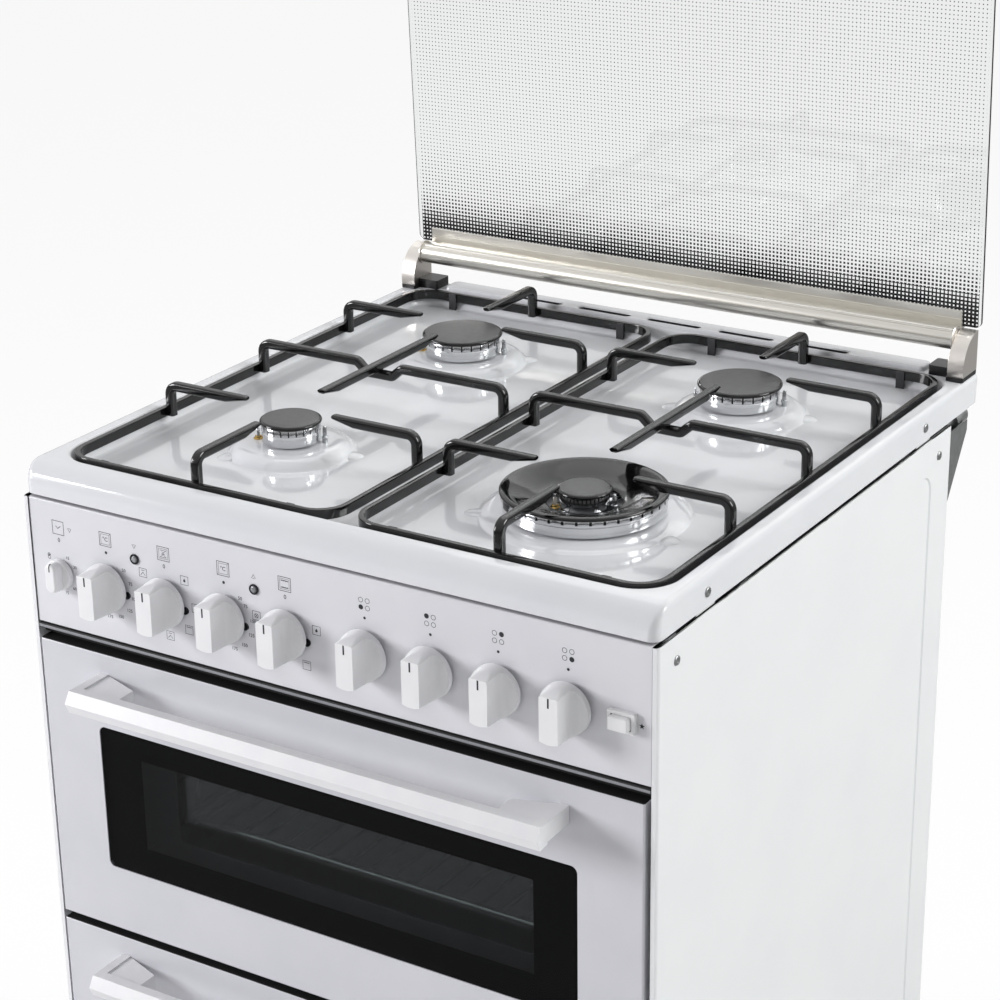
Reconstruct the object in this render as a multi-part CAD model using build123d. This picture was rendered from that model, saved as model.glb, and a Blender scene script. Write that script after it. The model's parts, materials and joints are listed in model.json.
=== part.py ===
from build123d import *
import os
from math import cos, radians, sin

# Free-standing 60 cm cooker with a four-burner gas hob, a hinged glass lid and two ovens.
# Millimetres. X runs left to right seen from the front, Y from front to back, Z up from the floor.
# The origin is on the floor, under the middle of the whole cooker, handles included.

# Overall sizes
cooker_width = 600.0
cooker_depth = 600.0
hob_height = 900.0
rim_height = 27.0
side_depth = 535.0
side_inset = 1.5
flange_width = 16.0
tab_width = 30.0
tab_over = 5.0
flue_height = 95.0
base_z = 42.0
sheet = 1.2
side_fold = 2.0
panel_side_gap = 0.5
panel_height = 114.0
panel_gap = 3.0
panel_return = 36.0

# Doors
door_width = 586.0
door_proud = 4.0
door_glass = 4.0
door_inner_gap = 28.0
door_shell = 12.0
door_frame_half = 262.0
door_frame_inset = 4.0
glass_overlap = 18.0
upper_door_height = 267.0
lower_door_height = 352.0
door_gap = 7.0
trim_height = 10.0
trim_gap = 2.0
plinth_height = 58.0
window_width = 470.0
window_inset = 70.0
window_bottom_inset = 62.0
window_corner_r = 6.0
clear_width = 344.0
clear_margin = 32.0
hinge_inset_y = 14.0
hinge_inset_z = 16.0
hinge_pin_r = 4.0
hinge_bracket_t = 2.5
hinge_side_gap = 0.8
hinge_pin_reach = 16.0
frame_gap = 9.0
frame_t = 2.0

# Door handles
handle_reach = 47.0
handle_length = 457.0
handle_bar_depth = 8.5
handle_height = 19.0
handle_drop = 18.0
bracket_length = 45.0
bracket_depth = 20.0
bracket_foot = 10.0

# Ovens
cavity_width = 440.0
cavity_depth = 420.0
cavity_wall = 1.2
cavity_flange = 14.0
upper_cavity_height = 190.0
lower_cavity_height = 280.0
cavity_drop = 32.0
shelf_wire_r = 1.8
shelf_rim_r = 3.0
shelf_depth = 350.0
rack_wire_r = 2.5
rack_offset = 7.0
rail_inset = 5.0
rail_first = 34.0
rail_pitch = 42.0
rail_clear = 50.0
shelf_level = 0
shelf_wire_pitch = 22.0
element_r = 3.25
element_drop = 14.0
grill_loops = 3
grill_pitch = 56.0
ring_r = 72.0
ring_leg_x = 12.0
ring_leg_bend = 8.0
ring_bend = 48.0
fan_r = 60.0
fan_depth = 16.0
fan_blades = 12
fan_shaft_r = 3.0
fan_cover_width = 230.0
fan_cover_height = 176.0
fan_cover_depth = 30.0
fan_slots = 9
fan_slot_pitch = 9.0
fan_side_slots = 6
motor_r = 34.0
motor_length = 40.0
seal_width = 7.0
seal_height = 8.6
seal_offset = 4.0

# Hob pan
pan_depth = 15.0
pan_margin = 13.0
pan_rear_margin = 25.0
pan_corner_r = 34.0
rim_top_r = 9.0
rim_corner_r = 12.0
strip_rise = 4.0
strip_length = 512.0
strip_depth = 36.0
slot_count = 5
slot_pitch = 76.0
slot_length = 57.0
slot_width = 5.0
side_burner_x = 144.0
burner_y_from_middle = 135.0

# Burners, radius and height values
mound_slope = 14.0
small_mound_r = 41.0
medium_mound_r = 46.0
wok_mound_r = 72.0
mound_rise = 9.0
wok_mound_rise = 3.5
small_head_r = 24.5
medium_head_r = 34.0
head_height = 14.5
small_cap_r = 26.7
medium_cap_r = 37.3
cap_height = 4.5
wok_ring_r = 66.0
wok_ring_height = 13.5
wok_dish_r = 68.3
wok_dish_hole_r = 31.0
wok_head_r = 20.0
wok_cap_r = 22.5
spoke_t = 3.0
burner_neck = 0.8
cup_depth = 22.0
port_count = 24
wok_port_count = 38
port_width = 1.6
port_height = 3.0
electrode_r = 1.6
electrode_offset = 5.0

# Pan supports
support_inner_x = 7.0
support_outer_x = 281.0
support_front_margin = 28.0
support_rear_margin = 30.0
support_corner_r = 28.0
strip_t = 5.0
strip_h = 10.5
support_top = 3.5
finger_size = 8.2
finger_rise = 22.0
finger_bend_r = 8.0
finger_tip_gap = 45.0
long_bar_half = 89.0
long_bar_dip = 8.6
pad_offset = 95.0
pad_width = 8.0
pad_t = 1.6
pad_foot = 2.6

# Lid
lid_glass_width = 599.0
lid_glass_height = 556.0
lid_glass_t = 4.0
lid_lean = 2.5
lid_axis_rise = 33.5
lid_axis_back = 17.0
rail_length = 564.0
rail_r = 10.0
rail_bore_r = 8.0
rail_flange_height = 21.5
rail_flange_t = 2.2
lid_setback = 15.5
channel_t = 2.2
channel_rise = 4.0
channel_back_t = 1.6
pivot_r = 5.0
tower_t = 15.0
tower_depth = 31.0
tower_back = 12.0
tower_rise = 7.0
hinge_base_h = 4.0
hinge_base_step = 9.0
hinge_step_depth = 23.0
hinge_base_inner_x = 262.0

# Knobs and controls
knob_pitch = 60.9
oven_knob_first_x = -215.7
gas_knob_first_x = 43.1
timer_x = -266.4
knob_drop = 67.5
timer_drop = 67.0
knob_r = 21.5
knob_front_r = 19.8
knob_length = 26.0
knob_gap = 3.6
knob_skirt = 4.5
grip_width = 16.0
hub_r = 6.5
hub_hole_r = 8.0
hub_reach = 4.0
spindle_reach = 10.0
timer_r = 13.5
timer_gap = 1.2
timer_length = 14.0
timer_grip = 12.0
spindle_r = 3.0
plug_r = 6.0
plug_length = 22.0
push_travel = 3.0
tap_width = 24.0
tap_height = 26.0
tap_depth = 38.0
tap_setback = 10.0
control_size = 42.0
control_depth = 36.0
lamp_r = 4.5
lamp_neck_r = 3.5
lamp_proud = 1.8
lamp_length = 16.0
lamp_drop = 36.7
button_x = 272.5
button_width = 16.5
button_height = 11.0
button_proud = 10.0
button_travel = 2.5
bezel_width = 24.0
bezel_height = 17.0
bezel_t = 4.5
bezel_lip = 2.0
button_gap = 0.25
button_well = 10.0
switch_depth = 20.0

# Gas pipework
manifold_r = 8.0
manifold_x = 282.0
inlet_r = 10.48
inlet_length = 18.0
inlet_drop = 14.0
pipe_r = 4.0
pipe_run_z = 838.0
pipe_layer = 12.0
pipe_bend_r = 8.5
pipe_first_turn = 22.0
pipe_lane = 20.0

# Feet and fastenings
foot_r = 20.0
foot_h = 12.0
foot_stem_r = 5.0
foot_inset_x = 50.0
foot_inset_y = 55.0
screw_head_r = 4.0
screw_head_h = 1.4
screw_shank_r = 2.0
screw_length = 8.0
control_screw_x = 20.0
control_screw_drop = 4.0

# Clearances
run_fit = 0.05
seat_gap = 0.3
glass_gap = 0.25

# Places worked out from the sizes above
half_w = cooker_width / 2
lean = radians(lid_lean)
lid_back = lid_setback + lid_glass_t + glass_gap + channel_back_t
rear_reach = lid_back * cos(lean) - channel_rise * sin(lean) - lid_axis_back
front_y = (door_proud + handle_reach - cooker_depth - rear_reach) / 2
rear_y = front_y + cooker_depth
mid_y = (front_y + rear_y) / 2
side_rear_y = front_y + side_depth
rim_z = hob_height - rim_height
pan_z = hob_height - pan_depth
flue_low = rim_z - flue_height
side_x = half_w - side_inset
panel_x = side_x - side_fold - panel_side_gap
panel_top = rim_z - panel_gap
panel_bottom = panel_top - panel_height
trim_top = panel_bottom - 1.0
upper_top = trim_top - trim_height - trim_gap
upper_bottom = upper_top - upper_door_height
lower_top = upper_bottom - door_gap
lower_bottom = lower_top - lower_door_height
plinth_top = lower_bottom - door_gap
door_front = front_y - door_proud
door_back = front_y + door_inner_gap
frame_y = door_back + door_glass + frame_gap
hinge_y = door_front + hinge_inset_y
knob_z = rim_z - knob_drop
upper_cavity_z = upper_top - cavity_drop - upper_cavity_height
lower_cavity_z = lower_top - cavity_drop - lower_cavity_height
cavity_front = frame_y + frame_t
cavity_back = cavity_front + cavity_depth
lid_y = rear_y - lid_axis_back
lid_z = hob_height + lid_axis_rise
burner_front_y = mid_y - burner_y_from_middle
burner_rear_y = mid_y + burner_y_from_middle
support_z = hob_height + support_top
finger_top = support_z + finger_rise
support_front_y = front_y + support_front_margin
support_rear_y = rear_y - support_rear_margin
tap_front = front_y + tap_setback
tap_back = tap_front + tap_depth
shaft_end = tap_setback + 12.0
gas_xs = [gas_knob_first_x + knob_pitch * i for i in range(4)]
oven_xs = [oven_knob_first_x + knob_pitch * i for i in range(4)]

# Burners: name, x, y, mound radius, mound rise, head radius, cap radius
burners = [
    ("small", -side_burner_x, burner_front_y, small_mound_r, mound_rise, small_head_r, small_cap_r),
    ("medium", -side_burner_x, burner_rear_y, medium_mound_r, mound_rise, medium_head_r, medium_cap_r),
    ("medium", side_burner_x, burner_rear_y, medium_mound_r, mound_rise, medium_head_r, medium_cap_r),
    ("wok", side_burner_x, burner_front_y, wok_mound_r, wok_mound_rise, wok_ring_r, wok_dish_r),
]


def block(x0, x1, y0, y1, z0, z1):
    """A box between two corners."""
    return Pos((x0 + x1) / 2, (y0 + y1) / 2, (z0 + z1) / 2) * Box(x1 - x0, y1 - y0, z1 - z0)


def rod_x(r, x0, x1, y, z):
    return Pos((x0 + x1) / 2, y, z) * Rot(0, 90, 0) * Cylinder(r, x1 - x0)


def rod_y(r, y0, y1, x, z):
    return Pos(x, (y0 + y1) / 2, z) * Rot(90, 0, 0) * Cylinder(r, y1 - y0)


def rod_z(r, z0, z1, x, y):
    return Pos(x, y, (z0 + z1) / 2) * Cylinder(r, z1 - z0)


def prism_x(points, x0, x1):
    """A (y, z) outline extruded from x0 to x1."""
    face = make_face(Polyline(*points, close=True))
    return Pos(x0, 0, 0) * extrude(Plane.YZ * face, amount=x1 - x0)


def prism_y(points, y0, y1):
    """An (x, z) outline extruded from y0 to y1."""
    face = make_face(Polyline(*points, close=True))
    return Pos(0, y1, 0) * extrude(Plane.XZ * face, amount=y1 - y0)


def prism_z(points, z0, z1):
    """An (x, y) outline extruded from z0 to z1."""
    face = make_face(Polyline(*points, close=True))
    return Pos(0, 0, z0) * extrude(face, amount=z1 - z0)


def slab_z(x0, x1, y0, y1, z0, z1, r, taper=0.0):
    """A plate with rounded corners in plan, with tapered walls if asked."""
    face = RectangleRounded(x1 - x0, y1 - y0, r)
    return Pos((x0 + x1) / 2, (y0 + y1) / 2, z0) * extrude(face, amount=z1 - z0, taper=taper)


def slab_y(x0, x1, y0, y1, z0, z1, r):
    """A plate with rounded corners seen from the front."""
    face = RectangleRounded(x1 - x0, z1 - z0, r)
    return Pos((x0 + x1) / 2, y1, (z0 + z1) / 2) * extrude(Plane.XZ * face, amount=y1 - y0)


def turned(points, x, y):
    """An (r, z) outline turned about a vertical axis at x, y."""
    face = make_face(Polyline(*points, close=True))
    return Pos(x, y, 0) * revolve(Plane.XZ * face, Axis.Z)


def swept(points, bend_r, section_face):
    """A section swept along straight runs with rounded corners, of one radius or one each."""
    path = FilletPolyline(*points, radius=bend_r)
    start = Plane(origin=path @ 0, z_dir=path % 0)
    return sweep(start * section_face, path=path)


def joined(shapes):
    """One shape from many by fusing."""
    return shapes[0] + shapes[1:]


def side_panel(side):
    """Outer side sheet with a folded front edge, a pressed field, a rear flange and tabs for the hob."""
    top = rim_z - panel_gap
    field_front = front_y + 93.0
    field_rear = side_rear_y - 40.0
    field_top = top - 33.0
    field_bottom = base_z + 50.0
    press = 1.4

    def layer(inset):
        body = block(side_x - side_fold - press, side_x - inset, front_y + 1.0, side_rear_y, base_z, top)
        field = Rot(0, 90, 0) * extrude(
            RectangleRounded(field_top - field_bottom, field_rear - field_front, 16.0),
            amount=press + inset + 1.0,
            taper=-45,
        )
        place = Pos(side_x - inset - press, (field_front + field_rear) / 2, (field_top + field_bottom) / 2)
        return body - place * field

    skin = layer(0.0) - layer(sheet)
    fold = block(side_x - side_fold, side_x, front_y - 1.0, front_y + 16.0, base_z, top)
    fold = fillet(fold.edges().filter_by(Axis.Z).group_by(Axis.Y)[0], side_fold * 0.45)
    flange = block(side_x - flange_width, side_x - sheet / 2, side_rear_y - sheet, side_rear_y, base_z, flue_low)
    shell = skin + fold + flange
    for y, z in rim_screw_places():
        shell = shell + block(side_x - sheet, side_x, y - tab_width / 2, y + tab_width / 2, top - 5.0, z + tab_over)
        shell = shell - rod_x(screw_shank_r + run_fit, side_x - 3.0, side_x + 1.0, y, z)
    for y, z in side_screw_places():
        shell = shell - rod_x(screw_shank_r + run_fit, side_x - 30.0, side_x + 1.0, y, z)
    return shell if side > 0 else mirror(shell, about=Plane.YZ)


def side_screw_places():
    """Screws through each side panel, as (y, z)."""
    top = rim_z - panel_gap
    return [
        (front_y + 27.0, top - 20.0),
        (side_rear_y - 25.0, top - 20.0),
        (front_y + 27.0, base_z + 30.0),
        (side_rear_y - 25.0, base_z + 30.0),
    ]


def rim_screw_places():
    """Screws through each side of the hob rim, as (y, z)."""
    return [(front_y + 77.0, rim_z + 12.0), (rear_y - 120.0, rim_z + 12.0)]


def back_panel():
    """Rear sheet of the cabinet with cooling slots."""
    inner = side_x - flange_width - seat_gap
    plate = block(-inner, inner, side_rear_y - sheet, side_rear_y, base_z + sheet + seat_gap, flue_low)
    for row in range(6):
        z = base_z + 120.0 + row * 18.0
        for x in (-150.0, 0.0, 150.0):
            plate = plate - slab_y(x - 45.0, x + 45.0, side_rear_y - 3.0, side_rear_y + 1.0, z, z + 5.0, 2.4)
    return plate


def rear_flue():
    """Wedge-shaped rear cover that carries warm air up to the slots behind the burners."""
    end_x = side_x - sheet - 1.0
    low = flue_low + seat_gap
    reach = rear_y - 14.0
    outer = [
        (side_rear_y + seat_gap, low),
        (side_rear_y + 4.0, low),
        (reach, rim_z - 24.0),
        (reach, rim_z - 4.0),
        (side_rear_y + seat_gap, rim_z - 4.0),
    ]
    inner = [
        (side_rear_y + seat_gap + sheet, low + 4.0),
        (side_rear_y + 4.0, low + 4.0),
        (reach - sheet, rim_z - 24.0),
        (reach - sheet, rim_z),
        (side_rear_y + seat_gap + sheet, rim_z),
    ]
    cover = prism_x(outer, -end_x, end_x) - prism_x(inner, sheet - end_x, end_x - sheet)
    hole = rod_y(inlet_r + 2.0, side_rear_y - 5.0, rear_y, manifold_x, rim_z - inlet_drop)
    return cover - hole - block(manifold_x - inlet_r - 2.0, half_w, side_rear_y - 5.0, rear_y,
                                rim_z - inlet_drop, rim_z)


def base_tray():
    """Bottom sheet with upturned edges."""
    w = side_x - sheet - seat_gap
    outer = block(-w, w, front_y + 20.0, side_rear_y - sheet - seat_gap, base_z, base_z + 18.0)
    inner = block(-w + sheet, w - sheet, front_y + 20.0 + sheet, side_rear_y - 2 * sheet - seat_gap,
                  base_z + sheet, base_z + 20.0)
    return outer - inner


def plinth_panel():
    """White front strip under the lower door."""
    w = panel_x
    outer = block(-w, w, front_y, front_y + 20.0 - seat_gap, plinth_top - plinth_height, plinth_top)
    inner = block(-w + sheet, w - sheet, front_y + sheet, front_y + 21.0,
                  plinth_top - plinth_height + sheet, plinth_top - sheet)
    return outer - inner


def front_frame():
    """Plate behind the doors with the two oven mouths, and the cross rails that carry it."""
    w = side_x - sheet - seat_gap
    plate = block(-w, w, frame_y, frame_y + frame_t, base_z + 20.0, trim_top - trim_height)
    for z0, h in ((upper_cavity_z, upper_cavity_height), (lower_cavity_z, lower_cavity_height)):
        plate = plate - slab_y(-cavity_width / 2, cavity_width / 2, frame_y - 1.0, frame_y + frame_t + 1.0,
                               z0, z0 + h, 12.0)
    returns = []
    for side in (-1, 1):
        x0, x1 = sorted((side * w, side * (w - 2.0)))
        returns.append(block(x0, x1, frame_y, frame_y + 40.0, base_z + 20.0, trim_top - trim_height))
    return joined([plate] + returns)


def door_hinge_pins():
    """Four brackets on the front frame, each with the pin that a door swings on."""
    inner_x = door_frame_half + hinge_side_gap
    pieces = []
    for bottom in (upper_bottom, lower_bottom):
        z = bottom + hinge_inset_z
        for side in (-1, 1):
            x0, x1 = sorted((side * inner_x, side * (inner_x + hinge_bracket_t)))
            arm = block(x0, x1, hinge_y - 7.0, frame_y, z - 7.5, z + 7.5)
            foot = sorted((side * inner_x, side * (inner_x - 10.0)))
            foot = block(foot[0], foot[1], frame_y - 2.5, frame_y, z + 20.0, z + 44.0)
            web = block(x0, x1, frame_y - 9.0, frame_y, z + 7.0, z + 44.0)
            pin = sorted((side * (inner_x + hinge_bracket_t / 2), side * (inner_x - hinge_pin_reach)))
            pieces.append(joined([arm, web, foot, rod_x(hinge_pin_r, pin[0], pin[1], hinge_y, z)]))
    return pieces


def hob_layer(inset):
    """The outside of the pressed hob, or with an inset its underside."""
    low = rim_z if inset == 0 else rim_z - 5.0
    x = half_w - inset
    y0 = front_y + inset
    y1 = rear_y - inset
    body = slab_z(-x, x, y0, y1, low, hob_height - inset, rim_corner_r - inset)
    body = fillet(body.faces().sort_by(Axis.Z)[-1].edges(), rim_top_r - inset)
    raised = slab_z(-strip_length / 2 + inset, strip_length / 2 - inset,
                    rear_y - strip_depth - 2.0 + inset, rear_y - 2.0 - inset,
                    hob_height - 12.0, hob_height + strip_rise - inset, 6.0)
    body = body + raised
    taper = 30.0
    slope = pan_depth * sin(radians(taper)) / cos(radians(taper))
    pocket = slab_z(-half_w + pan_margin + slope - inset, half_w - pan_margin - slope + inset,
                    front_y + pan_margin + slope - inset, rear_y - pan_rear_margin - slope + inset,
                    pan_z - inset, hob_height + strip_rise + 2.0, pan_corner_r - slope, -taper)
    body = body - pocket
    for name, x, y, r, rise, head, cap in burners:
        top_r = r - inset
        foot_r_here = r + mound_slope - inset
        mound = turned([
            (0, pan_z - inset - 3.0), (foot_r_here, pan_z - inset - 3.0), (foot_r_here, pan_z - inset),
            (top_r + mound_slope * 0.45, pan_z - inset + rise * 0.42),
            (top_r + mound_slope * 0.12, pan_z - inset + rise * 0.88),
            (top_r - 4.0, pan_z - inset + rise), (0, pan_z - inset + rise),
        ], x, y)
        body = body + mound
    return body


def hob_top():
    """Pressed and enamelled hob with its rim, pan, burner mounds and rear slots."""
    shell = hob_layer(0.0) - hob_layer(sheet)
    for i in range(slot_count):
        x = (i - (slot_count - 1) / 2) * slot_pitch
        y = rear_y - strip_depth / 2
        shell = shell - slab_z(x - slot_length / 2, x + slot_length / 2, y - slot_width / 2, y + slot_width / 2,
                               hob_height - 20.0, hob_height + 10.0, slot_width / 2 - 0.1)
    for name, x, y, r, rise, head, cap in burners:
        shell = shell - rod_z(cup_r(name, head) + seat_gap, rim_z - 20.0, hob_height + 20.0, x, y)
        for sx, sy in electrode_places(name, x, y, head):
            shell = shell - rod_z(electrode_r + 1.2 + seat_gap, rim_z - 20.0, hob_height + 20.0, sx, sy)
    for side in (-1, 1):
        for y, z in rim_screw_places():
            shell = shell - rod_x(screw_shank_r + run_fit, side * half_w - 5.0, side * half_w + 5.0, y, z)
    return shell


def cup_r(name, head):
    """Outer radius of the cup that passes down through the hob."""
    return 28.0 if name == "wok" else head - 7.0


def electrode_places(name, x, y, head):
    """Where the spark plug and the thermocouple of a burner come through the hob."""
    reach = wok_head_r + 4.0 if name == "wok" else head + electrode_offset
    places = []
    for angle in (200.0, 20.0):
        places.append((x + reach * cos(radians(angle)), y + reach * sin(radians(angle))))
    return places


def mound_top(rise):
    return pan_z + rise


def burner_cups():
    """Aluminium cups under the hob, one below each burner head, with the gas inlet elbow."""
    cups = []
    for name, x, y, r, rise, head, cap in burners:
        top = mound_top(rise)
        rc = cup_r(name, head)
        cup = turned([
            (0, top - cup_depth - 6.0), (rc * 0.6, top - cup_depth - 6.0), (rc, top - cup_depth),
            (rc, top + 0.2), (rc - 2.0, top + 0.2), (rc - 2.0, top - 12.0), (0, top - 12.0),
        ], x, y)
        if name == "wok":
            gap = electrode_r + 1.2 + seat_gap
            for sx, sy in electrode_places(name, x, y, head):
                cup = cup - rod_z(gap, top - 40.0, top + 10.0, sx, sy)
        cups.append(cup)
    return Compound(cups)


def ported_ring(outline, x, y, r, count, top):
    """A turned burner ring with flame ports cut round its upper edge."""
    ring = turned(outline, x, y)
    cutters = []
    for i in range(count):
        angle = 360.0 / count * i
        cutters.append(Rot(0, 0, angle) * block(r - 2.0, r + 3.0, -port_width / 2, port_width / 2,
                                                top - port_height, top + 1.0))
    return ring - Pos(x, y, 0) * Compound(cutters)


def burner_heads():
    """Polished flame spreaders with their ports."""
    heads = []
    for name, x, y, r, rise, head, cap in burners:
        base = mound_top(rise) + burner_neck
        if name == "wok":
            top = base + 2.0 + wok_ring_height
            outline = [
                (wok_ring_r - 16.0, base), (wok_ring_r - 2.0, base), (wok_ring_r, base + 2.0),
                (wok_ring_r, top - 5.5), (wok_ring_r + 1.0, top - 4.5), (wok_ring_r + 1.0, top),
                (wok_ring_r - 4.0, top), (wok_ring_r - 4.0, base + spoke_t), (wok_ring_r - 16.0, base + spoke_t),
            ]
            heads.append(ported_ring(outline, x, y, wok_ring_r + 1.0, wok_port_count, top))
            inner_top = top - 0.5
            outline = [
                (0, base), (wok_head_r - 1.0, base), (wok_head_r - 1.0, base + 3.0),
                (wok_head_r, base + 4.0), (wok_head_r, inner_top), (0, inner_top),
            ]
            inner = ported_ring(outline, x, y, wok_head_r, port_count, inner_top)
            spokes = []
            for angle in (65.0, 155.0, 245.0, 335.0):
                spoke = block(wok_head_r - 4.0, wok_ring_r - 8.0, -4.0, 4.0, base, base + spoke_t)
                spokes.append(Pos(x, y, 0) * Rot(0, 0, angle) * spoke)
            heads[-1] = joined([heads[-1], inner] + spokes)
        else:
            top = base + head_height
            outline = [
                (0, base), (head - 1.0, base), (head, base + 1.0), (head, top - 5.0),
                (head + 1.0, top - 4.0), (head + 1.0, top), (0, top),
            ]
            heads.append(ported_ring(outline, x, y, head + 1.0, port_count, top))
    return Compound(heads)


def burner_caps():
    """Black enamelled caps, and the dished ring of the wok burner."""
    caps = []
    for name, x, y, r, rise, head, cap in burners:
        base = mound_top(rise) + burner_neck
        if name == "wok":
            top = base + 2.0 + wok_ring_height
            hole = wok_dish_hole_r
            caps.append(turned([
                (hole, top - 9.5), (hole + 2.0, top - 9.5), (wok_ring_r - 4.5, top - 0.8), (wok_ring_r - 4.5, top),
                (cap, top), (cap + 0.0, top + 2.0), (cap - 1.5, top + 3.2), (cap - 5.0, top + 3.2),
                (hole + 12.0, top - 4.0), (hole + 1.5, top - 6.5), (hole, top - 7.0),
            ], x, y))
            top = top - 0.5
            cap = wok_cap_r
        else:
            top = base + head_height
        caps.append(turned([
            (0, top), (cap - 1.0, top), (cap, top + 1.0), (cap, top + cap_height - 2.0),
            (cap - 2.0, top + cap_height - 0.5), (cap - 6.0, top + cap_height), (0, top + cap_height),
        ], x, y))
    return Compound(caps)


def electrodes(index):
    """Spark plugs (index 0) or thermocouples (index 1), one beside each burner."""
    pieces = []
    for name, x, y, r, rise, head, cap in burners:
        sx, sy = electrode_places(name, x, y, head)[index]
        base = mound_top(rise) - 24.0
        tip = mound_top(rise) + (13.0 if index == 0 else 15.0)
        pieces.append(turned([
            (0, base), (electrode_r + 1.2, base), (electrode_r + 1.2, tip - 9.0), (electrode_r, tip - 8.0),
            (electrode_r, tip - 2.0), (0.5, tip), (0, tip),
        ], sx, sy))
    return pieces


def support_ring(x0, x1):
    """Flat strip bent into the outline of one pan support."""
    outer = slab_z(x0, x1, support_front_y, support_rear_y, support_z - strip_h, support_z, support_corner_r)
    inner = slab_z(x0 + strip_t, x1 - strip_t, support_front_y + strip_t, support_rear_y - strip_t,
                   support_z - strip_h - 1.0, support_z + 1.0, support_corner_r - strip_t)
    ring = outer - inner
    return fillet(ring.faces().sort_by(Axis.Z)[-1].edges(), 1.2)


def finger(root, tip):
    """A bar that rises from the ring at root and runs level to its chamfered tip."""
    low = support_z - strip_h + 1.0
    level = finger_top - finger_size / 2
    points = [(root[0], root[1], low), (root[0], root[1], level), (tip[0], tip[1], level)]
    bar = swept(points, finger_bend_r, RectangleRounded(finger_size, finger_size, 2.4))
    run = Vector(tip[0] - root[0], tip[1] - root[1], 0)
    out = run.normalized()
    wedge = prism_x([(-22.0, -finger_size), (2.0, -finger_size), (2.0, -finger_size + 4.5)], -10.0, 10.0)
    heading = run.get_angle(Vector(0, 1, 0))
    if out.X > 0:
        heading = -heading
    return bar - Pos(tip[0], tip[1], finger_top) * Rot(0, 0, heading) * wedge


def pan_support(side):
    """One pan support: ring, six fingers, a crossbar and the long bar that lies on it."""
    x0, x1 = sorted((side * support_inner_x, side * support_outer_x))
    cx = side * side_burner_x
    inset = strip_t + finger_size / 2 - 0.5
    level = finger_top - finger_size / 2
    low = support_z - strip_h + 1.0
    pieces = [support_ring(x0, x1)]
    for y in (burner_front_y, burner_rear_y):
        pieces.append(finger((x0 + inset, y), (cx - finger_tip_gap, y)))
        pieces.append(finger((x1 - inset, y), (cx + finger_tip_gap, y)))
    pieces.append(finger((cx, support_front_y + inset), (cx, burner_front_y - finger_tip_gap)))
    pieces.append(finger((cx, support_rear_y - inset), (cx, burner_rear_y + finger_tip_gap)))
    half = long_bar_dip + 4.0
    cross = [
        (x0 + inset, mid_y, low), (x0 + inset, mid_y, level), (cx - half - 10.0, mid_y, level),
        (cx - half, mid_y, level - long_bar_dip), (cx + half, mid_y, level - long_bar_dip),
        (cx + half + 10.0, mid_y, level), (x1 - inset, mid_y, level), (x1 - inset, mid_y, low),
    ]
    pieces.append(swept(cross, 4.5, RectangleRounded(finger_size, finger_size, 2.4)))
    bar = block(cx - finger_size / 2, cx + finger_size / 2, mid_y - long_bar_half, mid_y + long_bar_half,
                finger_top - finger_size - 0.6, finger_top)
    bar = fillet(bar.edges().filter_by(Axis.Y), 2.4)
    for end in (-1, 1):
        tip = prism_x([(end * -22.0, -finger_size - 1.0), (end * 2.0, -finger_size - 1.0),
                       (end * 2.0, -finger_size + 4.0)], -10.0, 10.0)
        bar = bar - Pos(cx, mid_y + end * long_bar_half, finger_top) * tip
    pieces.append(bar)
    return joined(pieces)


def pad_places():
    """Centres of the rubber pads along the front and rear bars."""
    return [(side * side_burner_x + end * pad_offset, row) for side in (-1, 1) for end in (-1, 1) for row in (0, 1)]


def support_pads():
    """Rubber clips on the pan supports that stand on the enamel."""
    pads = []
    low = pan_z
    for x, row in pad_places():
        if row == 0:
            y0, y1 = support_front_y + strip_t, support_front_y + strip_t + pad_t
        else:
            y0, y1 = support_rear_y - strip_t - pad_t, support_rear_y - strip_t
        leg = block(x - pad_width / 2, x + pad_width / 2, y0, y1, low, support_z - 2.5)
        ya, yb = (y1 - pad_foot, y1) if row == 0 else (y0, y0 + pad_foot)
        foot = block(x - pad_width / 2, x + pad_width / 2, ya, yb, low + 1.2, support_z - strip_h)
        pads.append(leg + foot)
    return Compound(pads)


def hinge_bases():
    """Black plastic feet of the lid hinge on the rim, each with a step beside its tower."""
    bases = []
    back = lid_y + tower_back
    inner = side_x - tower_t - seat_gap
    for side in (-1, 1):
        x0, x1 = sorted((side * side_x, side * (inner - 1.0)))
        plate = slab_z(x0, x1, back - tower_depth - 1.5, back + 1.0, hob_height, hob_height + hinge_base_h, 2.0)
        x0, x1 = sorted((side * inner, side * hinge_base_inner_x))
        step = slab_z(x0, x1, back - hinge_step_depth, back - 1.0, hob_height, hob_height + hinge_base_step, 2.0)
        bases.append(plate + step)
    return Compound(bases)


def hinge_towers():
    """Satin towers of the lid hinge, each with the pin that the rail turns on."""
    towers = []
    z0 = hob_height + hinge_base_h
    back = lid_y + tower_back
    front = back - tower_depth
    top = lid_z + tower_rise
    for side in (-1, 1):
        outline = Polyline((front, z0), (back, z0), (back, top), (back - 6.0, top))
        curve = ThreePointArc((back - 6.0, top), (front + 6.5, (z0 + top) / 2 + 7.0), (front, z0))
        face = make_face(outline.edges() + curve.edges())
        x0, x1 = sorted((side * side_x, side * (side_x - tower_t)))
        tower = Pos(x0, 0, 0) * extrude(Plane.YZ * face, amount=x1 - x0)
        pin = sorted((side * (side_x - 4.0), side * (rail_length / 2 - 12.0)))
        towers.append(tower + rod_x(pivot_r, pin[0], pin[1], lid_y, lid_z))
    return Compound(towers)


def leaned(shape):
    """A lid piece tilted about the hinge axis as the open lid stands."""
    return Pos(0, lid_y, lid_z) * Rot(lid_lean, 0, 0) * shape


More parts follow.
